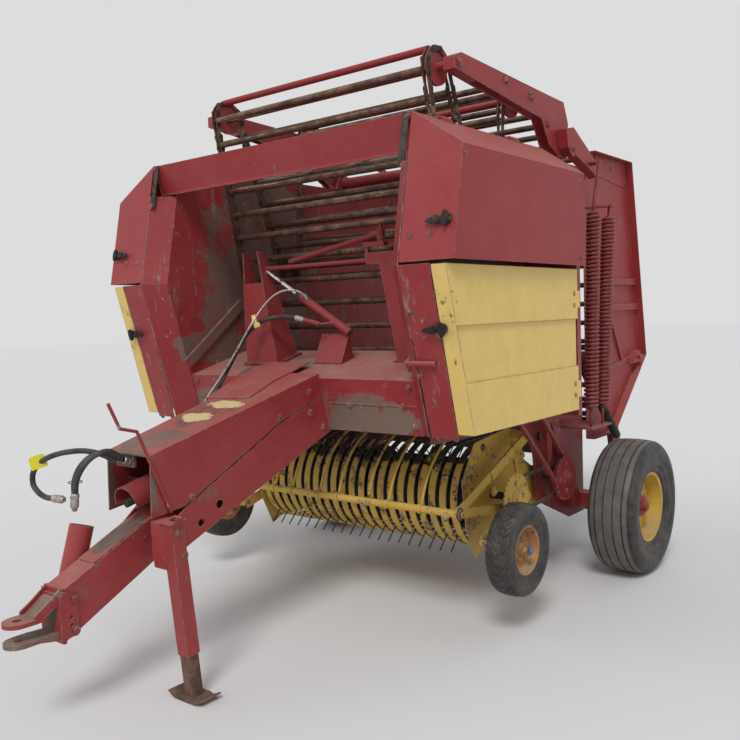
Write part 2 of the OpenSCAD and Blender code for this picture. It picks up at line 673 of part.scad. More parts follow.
twine_y = -300;
twine_pivot = [410, twine_y, 2000];
twine_arm_d = 28;
// Cylinder of the twine gear: its ends and where the rod meets the barrel
twine_cyl = [[-423, twine_y, 1846], [187, twine_y, 1482]];
twine_rod_share = 0.42;
// Cheeks of the tower: [x at the top, x at the foot]
tower_cheeks = [[-560, -505], [-438, -265]];
tower_top_z = 1950;
tower_foot_z = 1330;
tower_front = [-340, -390];
tower_rear = [-280, -215];
function tower_x(c, z) = lerp(c[1], c[0], (z - tower_foot_z) / (tower_top_z - tower_foot_z));
function tower_y(e, z) = lerp(e[1], e[0], (z - tower_foot_z) / (tower_top_z - tower_foot_z));
// Corner of a cheek where it stands on the base plate
function foot_z(e) = deck_top(e[1]) + 14;
module twine_tower() {
    base_l = 210;
    color(red) {
        // Base plate on the deck
        translate([0, deck_y0, deck_top_z]) rotate([tongue_slope, 0, 0])
            translate([tower_cheeks[0][1] - 12, (-402 - deck_y0) / cos(tongue_slope), seat_gap])
                cube([tower_cheeks[1][1] - tower_cheeks[0][1] + 24, base_l, 14]);
        for (c = tower_cheeks)
            panel([[tower_x(c, foot_z(tower_front)), tower_front[1], foot_z(tower_front)],
                   [tower_x(c, foot_z(tower_rear)), tower_rear[1], foot_z(tower_rear)],
                   [c[0], tower_rear[0], tower_top_z], [c[0], tower_front[0], tower_top_z]], [c == tower_cheeks[0] ? 8 : -8, 0, 0]);
        // Front sheet between the cheeks, with its top step
        panel([[tower_x(tower_cheeks[0], foot_z(tower_front)), tower_front[1], foot_z(tower_front)],
               [tower_x(tower_cheeks[1], foot_z(tower_front)), tower_front[1], foot_z(tower_front)],
               [tower_x(tower_cheeks[1], 1770), tower_y(tower_front, 1770) - 4, 1770],
               [tower_x(tower_cheeks[0], 1770), tower_y(tower_front, 1770) - 4, 1770]], [0, 8, 0]);
        // Brace bar between the tower and the plate of the arm
        rod([tower_cheeks[1][0] - 20, twine_y, 1852], [twine_pivot[0] - 70, twine_y, 1852], 24);
        // Barrel of the cylinder and its bracket on the deck
        rod(lerp(twine_cyl[0], twine_cyl[1], twine_rod_share), twine_cyl[1], 46);
        side_plate([[twine_y - 60, deck_top(twine_y - 60) + seat_gap], [twine_y + 60, deck_top(twine_y + 60) + seat_gap],
                    [twine_y + 60, deck_top(twine_y + 60) + 8], [twine_y + 40, deck_top(twine_y + 40) + 8],
                    [twine_y + 20, twine_cyl[1][2] - 4], [twine_y + 12, twine_cyl[1][2] - 4],
                    [twine_y - 60, deck_top(twine_y - 60) + 8]], -20, 190);
        // Leaning strut and its foot
        panel([[400, twine_y - 4, 1835], [500, twine_y - 4, 1835], [600, twine_y - 4, deck_top(twine_y - 4) + seat_gap + 0.1],
               [500, twine_y - 4, deck_top(twine_y - 4) + seat_gap + 0.1]], [0, -6, 0]);
        translate([0, deck_y0, deck_top_z]) rotate([tongue_slope, 0, 0])
            translate([480, (twine_y - 20 - deck_y0) / cos(tongue_slope), seat_gap]) cube([140, 70, 8]);
        // Plate and post that carry the arm's pin
        translate([twine_pivot[0] - 90, twine_y - 12, 1830]) cube([190, 24, 60]);
        translate([twine_pivot[0] - 100, twine_y - 8, 1838]) cube([18, 16, twine_pivot[2] - 60 - 1838]);
        translate([twine_pivot[0] - 100, twine_y - 20, twine_pivot[2] - 80]) cube([130, 40, 20]);
        translate([twine_pivot[0], twine_y, twine_pivot[2] - 61]) cylinder(h = 21, d = 40);
    }
    color(steel) {
        rod(twine_cyl[0], lerp(twine_cyl[0], twine_cyl[1], twine_rod_share + 0.05), 24);
        translate([twine_pivot[0], twine_y, twine_pivot[2] - 42]) cylinder(h = 80, d = twine_pin_d);
        // Port of the cylinder with its fitting, which the hose meets
        rod(ending(twine_hose_pts) + last_dir(twine_hose_pts) * 0.1, fitting_end, 26);
        rod(fitting_end, [92, twine_y - 12, 1538], 16);
    }
}

twine_pin_d = 20;
twine_hub_h = 44;
module twine_arm() {
    hub_z = twine_pivot[2] - 40 + seat_gap;
    color(steel) difference() {
        union() {
            translate([twine_pivot[0], twine_y, hub_z]) cylinder(h = twine_hub_h, d = 44);
            rod([twine_pivot[0] - 12, twine_y, hub_z + twine_hub_h / 2], [-225, twine_y, 1880], twine_arm_d);
        }
        translate([twine_pivot[0], twine_y, hub_z - 20]) cylinder(h = twine_hub_h + 60, d = twine_pin_d + 2 * fit_gap);
    }
}

// Hoses: a tube of ten sides through hand-chosen points, the first ring facing the clamp
hose_d = 24;
hose_sides = 10;
coupler_l = 58;
hose_a_pts = [[-40, -1562, 985], [-45, -1600, 1003], [-60, -1650, 1030], [-80, -1700, 1022], [-103, -1740, 980],
              [-120, -1758, 920], [-128, -1756, 868]];
hose_b_pts = [[0, -1562, 985], [-6, -1605, 1010], [-20, -1655, 1043], [-42, -1710, 1030], [-64, -1752, 985],
              [-82, -1772, 930], [-90, -1774, 880]];
hose_c_pts = [[-80, -1562, 985], [-90, -1600, 1002], [-115, -1640, 1025], [-160, -1680, 1038], [-210, -1715, 1036],
              [-262, -1745, 1025], [-312, -1768, 1005], [-354, -1785, 975], [-376, -1795, 935], [-370, -1798, 892],
              [-334, -1796, 862], [-286, -1792, 846], [-234, -1788, 846]];
// Hose of the twine cylinder, held at the clamp on the tower
twine_hose_pts = [[-250, -900, 1150], [-275, -830, 1210], [-305, -750, 1275], [-338, -660, 1350], [-366, -570, 1430],
                  [-376, -500, 1495], [-356, -450, 1542], [-300, -432, 1566], [-235, -425, 1577], [-170, -412, 1580],
                  [-110, -398, 1572], [-60, -385, 1558]];
function unit(v) = v / norm(v);
function ending(p) = p[len(p) - 1];
function last_dir(p) = unit(ending(p) - p[len(p) - 2]);
fitting_l = 100;
fitting_end = ending(twine_hose_pts) + last_dir(twine_hose_pts) * fitting_l;
function hose_dir(p, i, first) = i == 0 ? first : unit(p[min(i + 1, len(p) - 1)] - p[i - 1]);
function hose_ring(c, t, w, r) = let (u = unit(cross(t, w)), v = cross(t, u))
    [for (k = [0:hose_sides - 1]) c + r * (u * cos(360 * k / hose_sides) + v * sin(360 * k / hose_sides))];
module hose(p, first, w, d) {
    n = len(p);
    m = hose_sides;
    color(rubber) polyhedron(
        points = [for (i = [0:n - 1]) each hose_ring(p[i], hose_dir(p, i, first), w, d / 2)],
        faces = concat([[for (k = [m - 1:-1:0]) k]], [[for (k = [0:m - 1]) (n - 1) * m + k]],
                       [for (i = [0:n - 2], k = [0:m - 1]) [i * m + k, i * m + (k + 1) % m, (i + 1) * m + (k + 1) % m]],
                       [for (i = [0:n - 2], k = [0:m - 1]) [i * m + k, (i + 1) * m + (k + 1) % m, (i + 1) * m + k]]));
}
module hose_a() { hose(hose_a_pts, [0, -1, 0], [1, 0, 0], hose_d); }
module hose_b() { hose(hose_b_pts, [0, -1, 0], [1, 0, 0], hose_d); }
module hose_c() { hose(hose_c_pts, [0, -1, 0], [0, 0.6, 1], hose_d); }
module twine_hose() { hose(twine_hose_pts, unit(twine_hose_pts[1] - twine_hose_pts[0]), [1, 0.4, 0], hose_d); }
// Couplers on the free ends
module hose_couplers() {
    color(steel) for (p = [hose_a_pts, hose_b_pts, hose_c_pts])
        let (e = ending(p), u = last_dir(p)) {
            rod(e + u * 0.1, e + u * coupler_l, 34);
            rod(e + u * (coupler_l - 1), e + u * (coupler_l + 14), 24);
        }
}

hose_rod_x = tongue_front_x + 12;
hose_rod_pts = [[-1490, 775], [-1640, 1135], [-1720, 1157], [-1768, 1262]];
hose_rod_d = 14;
module hose_rod() {
    color(steel) for (i = [0:2]) {
        rod([hose_rod_x, hose_rod_pts[i][0], hose_rod_pts[i][1]],
            [hose_rod_x, hose_rod_pts[i + 1][0], hose_rod_pts[i + 1][1]], hose_rod_d);
        if (i > 0) translate([hose_rod_x, hose_rod_pts[i][0], hose_rod_pts[i][1]]) sphere(d = hose_rod_d + 1);
    }
}

// Jack: drawn upright with its foot at the origin, then leaned
jack_foot_y = -1492;
jack_top = 765;
jack_tube_z = 195;
module jack_frame() {
    translate([jack_x, jack_foot_y, 0]) rotate([jack_lean, 0, 0]) children();
}

jack_inner = jack_tube_w - 2 * jack_wall;
// Rear edge of the mounting plate, and its seat on the flared side of the tongue
jack_plate_y = -1508;
jack_plate_x = tongue_front_x + (jack_plate_y - tongue_mouth_y) * tan(tongue_angle) + seat_gap;
module jack_tube() {
    color(red) {
        jack_frame() difference() {
            translate([-jack_tube_w / 2, -jack_tube_w / 2, jack_tube_z])
                cube([jack_tube_w, jack_tube_w, jack_top - jack_tube_z]);
            translate([-jack_inner / 2, -jack_inner / 2, jack_tube_z - 1])
                cube([jack_inner, jack_inner, jack_top - jack_tube_z - 8]);
        }
        // Mounting plate against the tongue
        side_plate([[-1580, 560], [jack_plate_y - 4, 560], [jack_plate_y, 755], [-1588, 755], [-1588, 640]], jack_plate_x,
                   jack_x - jack_tube_w / 2 + 1 - jack_plate_x);
        // Cap with its bent handle
        jack_frame() {
            translate([-jack_tube_w / 2 - 10, -jack_tube_w / 2 - 8, jack_top]) cube([jack_tube_w + 20, jack_tube_w + 16, 8]);
            rod([-20, 0, jack_top + 6], [40, -10, jack_top + 30], 14);
            rod([39, -10, jack_top + 30], [78, -6, jack_top + 26], 14);
        }
    }
}

leg_l = 380;
module jack_leg() {
    leg_w = jack_inner - 2 * seat_gap;
    color(steel) {
        jack_frame() translate([-leg_w / 2, -leg_w / 2, 12]) cube([leg_w, leg_w, leg_l]);
        // Foot plate with upturned ends
        translate([jack_x, jack_foot_y + 55, 0]) rotate([90, 0, 0]) linear_extrude(height = 110)
            polygon([[-62, 0], [62, 0], [106, 22], [100, 28], [58, 8], [34, 14], [-34, 14], [-58, 8], [-100, 28], [-106, 22]]);
    }
}

// Driveline: [y, z] at the gearbox, at the tongue's mouth and at the free end
pto_rear = [-620, 1050];
pto_mouth = [-1470, 842];
pto_d = 35;
pto_dir = (pto_mouth - pto_rear) / norm(pto_mouth - pto_rear);
pto_angle = atan2(-pto_dir[0], pto_dir[1]);
module on_driveline() {
    translate([0, pto_mouth[0], pto_mouth[1]]) rotate([pto_angle, 0, 0]) children();
}

// Half width of the bearing plate between the sides of the tongue cover
bearing_x = tongue_front_x - 6 + (pto_mouth[0] - 12 - tongue_mouth_y) * tan(tongue_angle) - seat_gap;
module pto_shroud() {
    color(red) on_driveline() difference() {
        translate([0, 0, -40]) cylinder(h = 170, d = 150);
        translate([0, 0, -50]) cylinder(h = 190, d = 140);
        translate([-80, -102, -60]) cube([160, 90, 220]);
    }
    color(steel) on_driveline() difference() {
        union() {
            translate([0, 0, -1060]) cylinder(h = 1060, d = 64);
            // Bearing plate across the mouth
            translate([-bearing_x, -45, -16]) cube([2 * bearing_x, 95, 12]);
        }
        rotate([-pto_angle, 0, 0]) translate([-50, deck_y0 - gearbox_l - seat_gap - pto_mouth[0], -100]) cube([100, 500, 500]);
        translate([0, 0, -120]) cylinder(h = 130, d = pto_d + 2 * fit_gap);
    }
}

module pto_shaft() {
    color(steel) on_driveline() {
        translate([0, 0, -118]) cylinder(h = 248, d = pto_d);
        translate([0, 0, seat_gap]) cylinder(h = 30, d = 60);
    }
}

tube_x = -122;
module pto_tube() {
    low = [tube_x, -1808, 490];
    top = [tube_x, -1733, 735];
    u = (top - low) / norm(top - low);
    color(red) {
        difference() {
            rod(low, top, 100);
            rod(low + u * 20, top + u * 20, 90);
        }
        // Strap to the drawbar
        side_plate([[-1790, 560], [-1750, 560], [-1750, 600], [-1790, 600]], -74, 12);
    }
}

// Upper cover: hinged along its inner top edge
cover_low_z = kink_z + 12;
function on_front(z) = lerp(mouth_kink_y, mouth_top_y, (z - kink_z) / (wall_top_z - kink_z));
module knuckle_y(y, h, p, bore) {
    translate([p[0], y - h / 2, p[1]]) rotate([-90, 0, 0]) difference() {
        cylinder(h = h, d = 24);
        translate([0, 0, -1]) cylinder(h = h + 2, d = bore);
    }
}

module cover() {
    f = 4;
    x0 = mouth_x + 8;
    h = 2 * knuckle - 32;
    side_z = cover_top_z + f / 2;
    color(red) {
        // The side and top sheets start inside the front sheet, and the side reaches into the top
        panel([[cover_x - f, on_front(side_z) + f / 4, side_z], [cover_x - f, cover_rear_y, side_z],
               [cover_x - f, cover_rear_y, cover_low_z], [cover_x - f, on_front(cover_low_z) + f / 4, cover_low_z]],
              [f, 0, 0]);
        difference() {
            panel([[x0, on_front(wall_top_z) + f / 4, wall_top_z], [x0, cover_rear_y + 80, wall_top_z],
                   [cover_x, cover_rear_y, cover_top_z], [cover_x, on_front(cover_top_z) + f / 4, cover_top_z]],
                  [0, 0, f]);
            for (y = cover_hinges) translate([x0 - 5, y - knuckle - 2, wall_top_z - 30])
                cube([14, 2 * knuckle + 4, 60]);
        }
        panel([[x0, on_front(wall_top_z), wall_top_z], [cover_x, on_front(cover_top_z), cover_top_z],
               [cover_x, on_front(cover_low_z), cover_low_z], [x0, on_front(cover_low_z), cover_low_z]], [0, f, 0]);
        for (y = cover_hinges) {
            knuckle_y(y, h, cover_hinge, hinge_pin_d + 2 * fit_gap);
            translate([cover_hinge[0] + 5, y - h / 2, cover_hinge[1] - 7]) rotate([0, 33, 0]) cube([26, h, 4]);
        }
    }
}

module cover_left() { cover(); }
module cover_right() { on_side(-1) cover(); }

// Lower door: hinged along its rear edge
door_top_z = kink_z - 4;
function door_front(z) = lerp(mouth_kink_y, mouth_sill_y, (kink_z - z) / (kink_z - sill_z));
door_bands = [[door_bottom_z, 1270, 0], [1270, 1520, 1], [1520, door_top_z, 0]];
module door() {
    f = 4;
    rear_y = cover_rear_y - 20;
    h = 2 * knuckle - 32;
    color(yellow) {
        for (b = door_bands) {
            x = door_x - f - b[2] * door_recess;
            side_plate([[door_front(b[0]), b[0]], [rear_y, b[0]], [rear_y, b[1]],
                        [door_front(b[1]), b[1]]], x, f);
        }
        for (z = [1270, 1520])
            side_plate([[door_front(z), z - 2], [rear_y, z - 2], [rear_y, z + 2],
                        [door_front(z), z + 2]], door_x - f - door_recess, door_recess + f);
        panel([[1050, door_front(door_top_z), door_top_z], [door_x, door_front(door_top_z), door_top_z],
               [door_x, door_front(door_bottom_z), door_bottom_z], [1042, door_front(door_bottom_z), door_bottom_z]],
              [0, f, 0]);
        for (z = door_hinges) {
            translate([door_hinge[0], door_hinge[1], z - h / 2]) difference() {
                union() {
                    cylinder(h = h, d = 24);
                    translate([-6, rear_y - door_hinge[1] - 2, 0]) cube([14, door_hinge[1] - rear_y, h]);
                }
                translate([0, 0, -1]) cylinder(h = h + 2, d = hinge_pin_d + 2 * fit_gap);
            }
        }
    }
}

module door_left() { door(); }
module door_right() { on_side(-1) door(); }

module floor_roll() {
    color(steel) {
        rod_x(roll_y, roll_z, -wall_x + 6, wall_x - 6, roll_d);
        rod_x(roll_y, roll_z, -wall_x - 20, wall_x + 20, roll_shaft_d);
    }
}

gate_x = 800;
gate_t = 5;
eye_w = 36;
gate_pin_d = 28;
gate_outline = [[hinge_y - 50, 2540], [1930, 2540], [rear_y, 1230], [1590, 750], [1250, 750], [1250, 2300],
                [hinge_y - 60, 2400]];
// Edge flanges of the tailgate sides, outside the plates: [from, to] corners of the outline
gate_ribs = [[0, 1], [1, 2], [2, 3], [3, 4]];
module gate_side() {
    color(red) {
        difference() {
            side_plate(gate_outline, gate_x, gate_t);
            side_plate([[1500, 1340], [1560, 1340], [1530, 1620], [1490, 1620]], gate_x - 10, 40);
            rod_x(hinge_y, hinge_z, gate_x - 10, gate_x + 20, pin_d + 2 * fit_gap);
        }
        for (r = gate_ribs) let (a = gate_outline[r[0]], b = gate_outline[r[1]], d = (b - a) / norm(b - a),
                                 n = [d[1], -d[0]] * 4)
            side_plate([a, b, b + n, a + n], gate_x + gate_t, 52);
        side_bar([1480, 1740], [2060, 1740], 40, gate_x + gate_t, 20);
        side_bar([1520, 1570], [2090, 1570], 40, gate_x + gate_t, 20);
        // Latch lever along the slot, flat bar and latch block at the rear edge
        side_bar([1600, 1560], [1815, 1215], 22, gate_x + gate_t, 14);
        side_bar([1520, 1165], [2060, 1222], 26, gate_x + gate_t, 10);
        side_plate([[1950, 1180], [2060, 1190], [2080, 1260], [1990, 1270]], gate_x + gate_t, 40);
        rod_x(2030, 1225, gate_x + gate_t + 38, gate_x + gate_t + 62, 34);
        // Upper plate
        side_plate([[hinge_y + 60, 2410], [1940, 2370], [1925, 2534], [hinge_y + 60, 2534]], gate_x + gate_t, 6);
        // Lug of the cylinder rod
        side_plate([[1560, 750], [1660, 790], [1680, 600], [1640, 560], [1600, 600]], gate_x + gate_t, 40);
    }
    // Stub of the rod's pin: it ends beside the eye, where the linkage is opened
    color(steel) rod_x(rod_pin[0], rod_pin[1], gate_x + gate_t, gate_cyl_x - eye_w / 2 - 1, gate_pin_d);
}

module gate_left() { gate_side(); }
module gate_right() { on_side(-1) gate_side(); }

module gate_frame() {
    color(red) {
        for (p = [[1880, 2490], [2110, 1230], [1585, 785]])
            rod_x(p[0], p[1], -gate_x, gate_x, 50);
        side_plate([[1925, 2530], [1930, 2530], [1990, 2190], [1985, 2190]], -gate_x, 2 * gate_x);
    }
    // Hinge pins
    color(steel) both_sides() rod_x(hinge_y, hinge_z, wall_x - 12, gate_x + 26, pin_d - 0.2);
}

module gate_rolls() {
    color(steel) for (s = [gate_top, gate_rear, gate_low]) {
        rod_x(s[0], s[1], -gate_x, gate_x, 42);
        both_sides() sprocket(s);
    }
}

// Tailgate cylinders, drawn along their axis from the barrel pin
cyl_v = rod_pin - barrel_pin;
cyl_l = norm(cyl_v);
cyl_a = atan2(cyl_v[1], cyl_v[0]);
module cyl_frame(s) {
    on_side(s) translate([gate_cyl_x, barrel_pin[0], barrel_pin[1]]) rotate([cyl_a - 90, 0, 0]) children();
}

barrel_l = 1080;
module gate_barrel(s) {
    color(steel) cyl_frame(s) difference() {
        union() {
            translate([0, 0, 20]) cylinder(h = barrel_l - 20, d = gate_cyl_d);
            rotate([0, 90, 0]) translate([0, 0, -20]) cylinder(h = 40, d = 60);
        }
        rotate([0, 90, 0]) translate([0, 0, -30]) cylinder(h = 60, d = pin_d + 2 * fit_gap);
        translate([0, 0, 60]) cylinder(h = barrel_l, d = gate_rod_d + 2 * fit_gap);
    }
}

module gate_rod(s) {
    color(steel) cyl_frame(s) {
        union() {
            translate([0, 0, 80]) cylinder(h = cyl_l - 100, d = gate_rod_d);
            translate([0, 0, cyl_l]) rotate([0, 90, 0]) translate([0, 0, -eye_w / 2]) cylinder(h = eye_w, d = 2 * gate_pin_d);
            // Outer end of the pin, which stays in the eye
            translate([0, 0, cyl_l]) rotate([0, 90, 0]) cylinder(h = eye_w / 2 + 12, d = gate_pin_d);
        }
    }
}

module gate_barrel_left() { gate_barrel(1); }
module gate_barrel_right() { gate_barrel(-1); }
module gate_rod_left() { gate_rod(1); }
module gate_rod_right() { gate_rod(-1); }

// Pickup
band_pitch = (2 * band_span_x - band_w) / (band_n - 1);
function band_x(i) = -band_span_x + band_w / 2 + i * band_pitch;
band_t = 4;
tail_l = 328;
tail_y = reel_y + tail_l;
reel_shaft_d = 40;
arm_hub = [reel_y + 200, reel_z - 35];
guard_x = side_plate_x + 95;
guard_hub = [reel_y + 235, reel_z + 294];
// Rear end of the lower arm of the windguard, below the reel's shaft
guard_low = [reel_y - 20, reel_z - 59];
reel_drive_x = guard_x + 42;
reel_drive_r = 88;
// Sprocket on the cross shaft that drives the reel
cross_drive_r = 78;
// Reel drive: the chain's centre line lies half its height and a gap outside each sprocket
chain_drive_h = 14;
chain_play = 0.5;
drive_v = [pivot_y, pivot_z] - [reel_y, reel_z];
drive_angle = atan2(drive_v[1], drive_v[0]);
drive_spread = acos((reel_drive_r - cross_drive_r) / norm(drive_v));
chain_ra = reel_drive_r + chain_play + chain_drive_h / 2;
chain_rb = cross_drive_r + chain_play + chain_drive_h / 2;
function ring_pt(c, r, a) = c + r * [cos(a), sin(a)];
drive_tangent = [ring_pt([reel_y, reel_z], chain_ra, drive_angle + drive_spread),
                 ring_pt([pivot_y, pivot_z], chain_rb, drive_angle + drive_spread)];
drive_tangent_low = [ring_pt([reel_y, reel_z], chain_ra, drive_angle - drive_spread),
                     ring_pt([pivot_y, pivot_z], chain_rb, drive_angle - drive_spread)];
// Part ring of the drive chain round the centre c, from angle a0 to a1
module chain_bend(c, r, a0, a1) {
    steps = 16;
    ang = [for (i = [0:steps]) lerp(a0, a1, i / steps)];
    side_plate(concat([for (a = ang) ring_pt(c, (r + chain_play + chain_drive_h) , a)],
                      [for (i = [steps:-1:0]) ring_pt(c, r + chain_play, ang[i])]), reel_drive_x, 14);
}
module pickup_frame() {
    color(yellow) {
        both_sides() difference() {
            side_plate([[pivot_y - 60, pivot_z + 60], [tail_y + 27, reel_z + 140],
                        [tail_y + 14, reel_z + band_r + 20], [reel_y + 180, reel_z + 335], [reel_y - 160, reel_z + 300],
                        [reel_y - 290, reel_z + 120], [reel_y - 260, reel_z - 130], [reel_y - 175, reel_z - 305], [reel_y - 100, reel_z - 272],
                        [reel_y + 80, reel_z - 275], [tail_y + 95, reel_z - band_r - 10], [pivot_y + 30, pivot_z - 60], [pivot_y + 60, pivot_z],
                        [pivot_y + 30, pivot_z + 60]], side_plate_x, 6);
            rod_x(pivot_y, pivot_z, side_plate_x - 10, side_plate_x + 20, cross_shaft_d + 2 * fit_gap);
            rod_x(reel_y, reel_z, side_plate_x - 10, side_plate_x + 20, reel_shaft_d + 2 * fit_gap);
        }
        // Brackets on the left and right side plates
        both_sides() {
            side_plate([[reel_y + 215, reel_z + 250], [reel_y + 250, reel_z + 250], [reel_y + 300, reel_z + 60], [reel_y + 262, reel_z + 50]],
                       side_plate_x + 5, 12);
            side_plate([[reel_y + 240, reel_z + 130], [reel_y + 390, reel_z + 110], [reel_y + 380, reel_z + 50], [reel_y + 270, reel_z + 40]],
                       side_plate_x + 5, 12);
        }
        // Chain of the reel drive, round both sprockets
        side_bar(drive_tangent[0], drive_tangent[1], chain_drive_h, reel_drive_x, 14);
        side_bar(drive_tangent_low[0], drive_tangent_low[1], chain_drive_h, reel_drive_x, 14);
        chain_bend([reel_y, reel_z], reel_drive_r, drive_angle + drive_spread, drive_angle + 360 - drive_spread);
        chain_bend([pivot_y, pivot_z], cross_drive_r, drive_angle - drive_spread, drive_angle + drive_spread);
        // Cross members that carry the bands
        translate([-side_plate_x, tail_y - 30, reel_z + band_r - band_t - 26]) cube([2 * side_plate_x, 30, 26]);
        translate([-side_plate_x, tail_y + 50, reel_z - band_r + band_t]) cube([2 * side_plate_x, 30, 26]);
    }
}

module pickup_bands() {
    color(yellow) for (i = [0:band_n - 1]) translate([band_x(i), reel_y, reel_z]) {
        rotate([0, 90, 0]) translate([0, 0, -band_w / 2]) difference() {
            cylinder(h = band_w, r = band_r, $fn = 64);
            translate([0, 0, -1]) cylinder(h = band_w + 2, r = band_r - band_t, $fn = 64);
            translate([-band_r - 1, 0, -1]) cube([2 * band_r + 2, band_r + 2, band_w + 2]);
        }
        translate([-band_w / 2, -0.01, -band_r]) cube([band_w, tail_l + 80, band_t]);
        translate([-band_w / 2, -0.01, band_r - band_t]) cube([band_w, tail_l, band_t]);
    }
}

bar_r = 200;
module pickup_reel() {
    color(steel) {
        rod_x(reel_y, reel_z, -side_plate_x - 20, reel_drive_x + 16, reel_shaft_d);
        for (k = [0:tine_bars - 1]) {
            a = 45 + 360 / tine_bars * k;
            dy = cos(a);
            dz = sin(a);
            rod_x(reel_y + bar_r * dy, reel_z + bar_r * dz, -band_span_x, band_span_x, 28);
            for (i = [0:band_n - 2]) let (x = band_x(i) + band_pitch / 2)
                rod([x, reel_y + bar_r * dy, reel_z + bar_r * dz],
                    [x, reel_y + tine_tip_r * dy, reel_z + tine_tip_r * dz], tine_d);
        }
        for (x = [-band_span_x + 2, -8, band_span_x - 14])
            rod_x(reel_y, reel_z, x, x + 12, 2 * bar_r + 30);
    }
    color(yellow) rod_x(reel_y, reel_z, reel_drive_x + 1, reel_drive_x + 13, 2 * reel_drive_r);
}

guard_y = -310;
guard_z = 600;
guard_arm_x = guard_x - 5;
guard_rods = 8;
module windguard() {
    color(yellow) {
        rod_x(guard_y, guard_z, -guard_x, guard_x, 38);
        both_sides() {
            side_bar([guard_y, guard_z], guard_hub, 50, guard_arm_x, 8);
            side_bar([guard_y, guard_z], guard_low, 50, guard_arm_x, 8);
            // Upper half of the long arm is a second bar, bolted on
            side_bar(lerp([guard_y, guard_z], guard_hub, 0.45), guard_hub, 58, guard_arm_x + 7, 7);
            rod_x(guard_y, guard_z, guard_x - 1, guard_arm_x + 18, 64);
            for (p = [guard_hub, lerp([guard_y, guard_z], guard_low, 0.78)])
                rod_x(p[0], p[1], side_plate_x + 6 + seat_gap, guard_arm_x + 8, 44);
        }
        for (i = [0:guard_rods - 1]) {
            k = round(lerp(1, band_n - 2, i / (guard_rods - 1)));
            translate([band_x(k), reel_y - 15, reel_z - 100]) rotate([90, 0, 90])
                rotate([0, 0, 90]) rotate_extrude(angle = 78, $fn = 64) translate([467, 0]) circle(d = 14, $fn = 16);
        }
    }
}

module gauge_arms() {
    color(yellow) both_sides() {
        side_bar(arm_hub, [gauge_y, gauge_z], 60, guard_arm_x + 20, 10);
        rod_x(arm_hub[0], arm_hub[1], side_plate_x + 6 + seat_gap, guard_arm_x + 30, 50);
        rod_x(gauge_y, gauge_z, guard_arm_x + 20, gauge_x + 60, 30);
    }
}

// Tyre cross-section: crowned tread with straight ribs, [radius share, width share]
module tyre(d, w, bead, grooves) {
    r = d / 2;
    rotate_extrude($fn = 96) difference() {
        polygon([[bead, -w * 0.36], [r * 0.80, -w * 0.5], [r * 0.93, -w * 0.46], [r * 0.985, -w * 0.38], [r, -w * 0.15],
                 [r, w * 0.15], [r * 0.985, w * 0.38], [r * 0.93, w * 0.46], [r * 0.80, w * 0.5], [bead, w * 0.36]]);
        for (g = grooves) translate([r - 12, g * w - 4]) square([20, 8]);
    }
}

rib_grooves = [-0.28, -0.1, 0.1, 0.28];
module road_tyre(s) {
    color(rubber) translate([s * track_x, axle_y, axle_z]) rotate([0, 90, 0]) tyre(tyre_d, tyre_w, rim_d / 2 - 12, rib_grooves);
}

module rim(d, w, bore, dish) {
    rotate_extrude($fn = 64) polygon([[d / 2 - 40, -w / 2], [d / 2 - 12.4, -w / 2], [d / 2 - 12.4, w / 2],
                                      [d / 2 - 24, w / 2], [d / 2 - 30, w * 0.1], [bore, dish], [bore, dish - 10],
                                      [d / 2 - 40, w * 0.1 - 10]]);
}

module road_rim(s) {
    color(yellow) translate([s * track_x, axle_y, axle_z]) rotate([0, 90 * s, 0]) rim(rim_d, tyre_w * 0.72, spindle_d / 2 + fit_gap, 40);
    color(red) translate([s * track_x, axle_y, axle_z]) rotate([0, 90 * s, 0]) difference() {
        translate([0, 0, -30]) cylinder(h = 90, d = hub_d);
        translate([0, 0, -40]) cylinder(h = 81, d = spindle_d + 2 * fit_gap);
    }
}

module gauge_wheel(s) {
    translate([s * gauge_x, gauge_y, gauge_z]) rotate([0, 90 * s, 0]) {
        color(rubber) tyre(gauge_d, gauge_w, 118, [-0.2, 0, 0.2]);
        color(yellow) rotate_extrude($fn = 64) polygon([[90, -45], [118.2, -45], [118.2, 45], [108, 45], [95, 5],
                                                        [15 + fit_gap, 12], [15 + fit_gap, -30], [30, -30], [30, 0], [90, -5]]);
    }
}

module gauge_wheel_left() { gauge_wheel(1); }
module gauge_wheel_right() { gauge_wheel(-1); }
module road_tyre_left() { road_tyre(1); }
module road_tyre_right() { road_tyre(-1); }
module road_rim_left() { road_rim(1); }
module road_rim_right() { road_rim(-1); }

wall_left();
wall_right();
front_beam();
deck_beam();
tongue_beam();
tongue_cover();
clevis();
axle_beam();
gearbox();
drive_left();
cross_shafts();
takeup_arms();
takeup_shafts();
apron_front();
springs_left();
springs_right();
twine_tower();
twine_arm();
hose_rod();
hose_a();
hose_b();
hose_c();
hose_couplers();
twine_hose();
jack_tube();
jack_leg();
pto_shroud();
pto_shaft();
pto_tube();
cover_left();
cover_right();
door_left();
door_right();
floor_roll();
gate_left();
gate_right();
gate_frame();
gate_rolls();
apron_rear();
gate_barrel_left();
gate_barrel_right();
gate_rod_left();
gate_rod_right();
pickup_frame();
pickup_bands();
pickup_reel();
windguard();
gauge_arms();
gauge_wheel_left();
gauge_wheel_right();
road_tyre_left();
road_tyre_right();
road_rim_left();
road_rim_right();
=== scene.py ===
"""Looks of a towed chain and slat round baler: finishes, fittings, hoses and stage round the CAD model."""

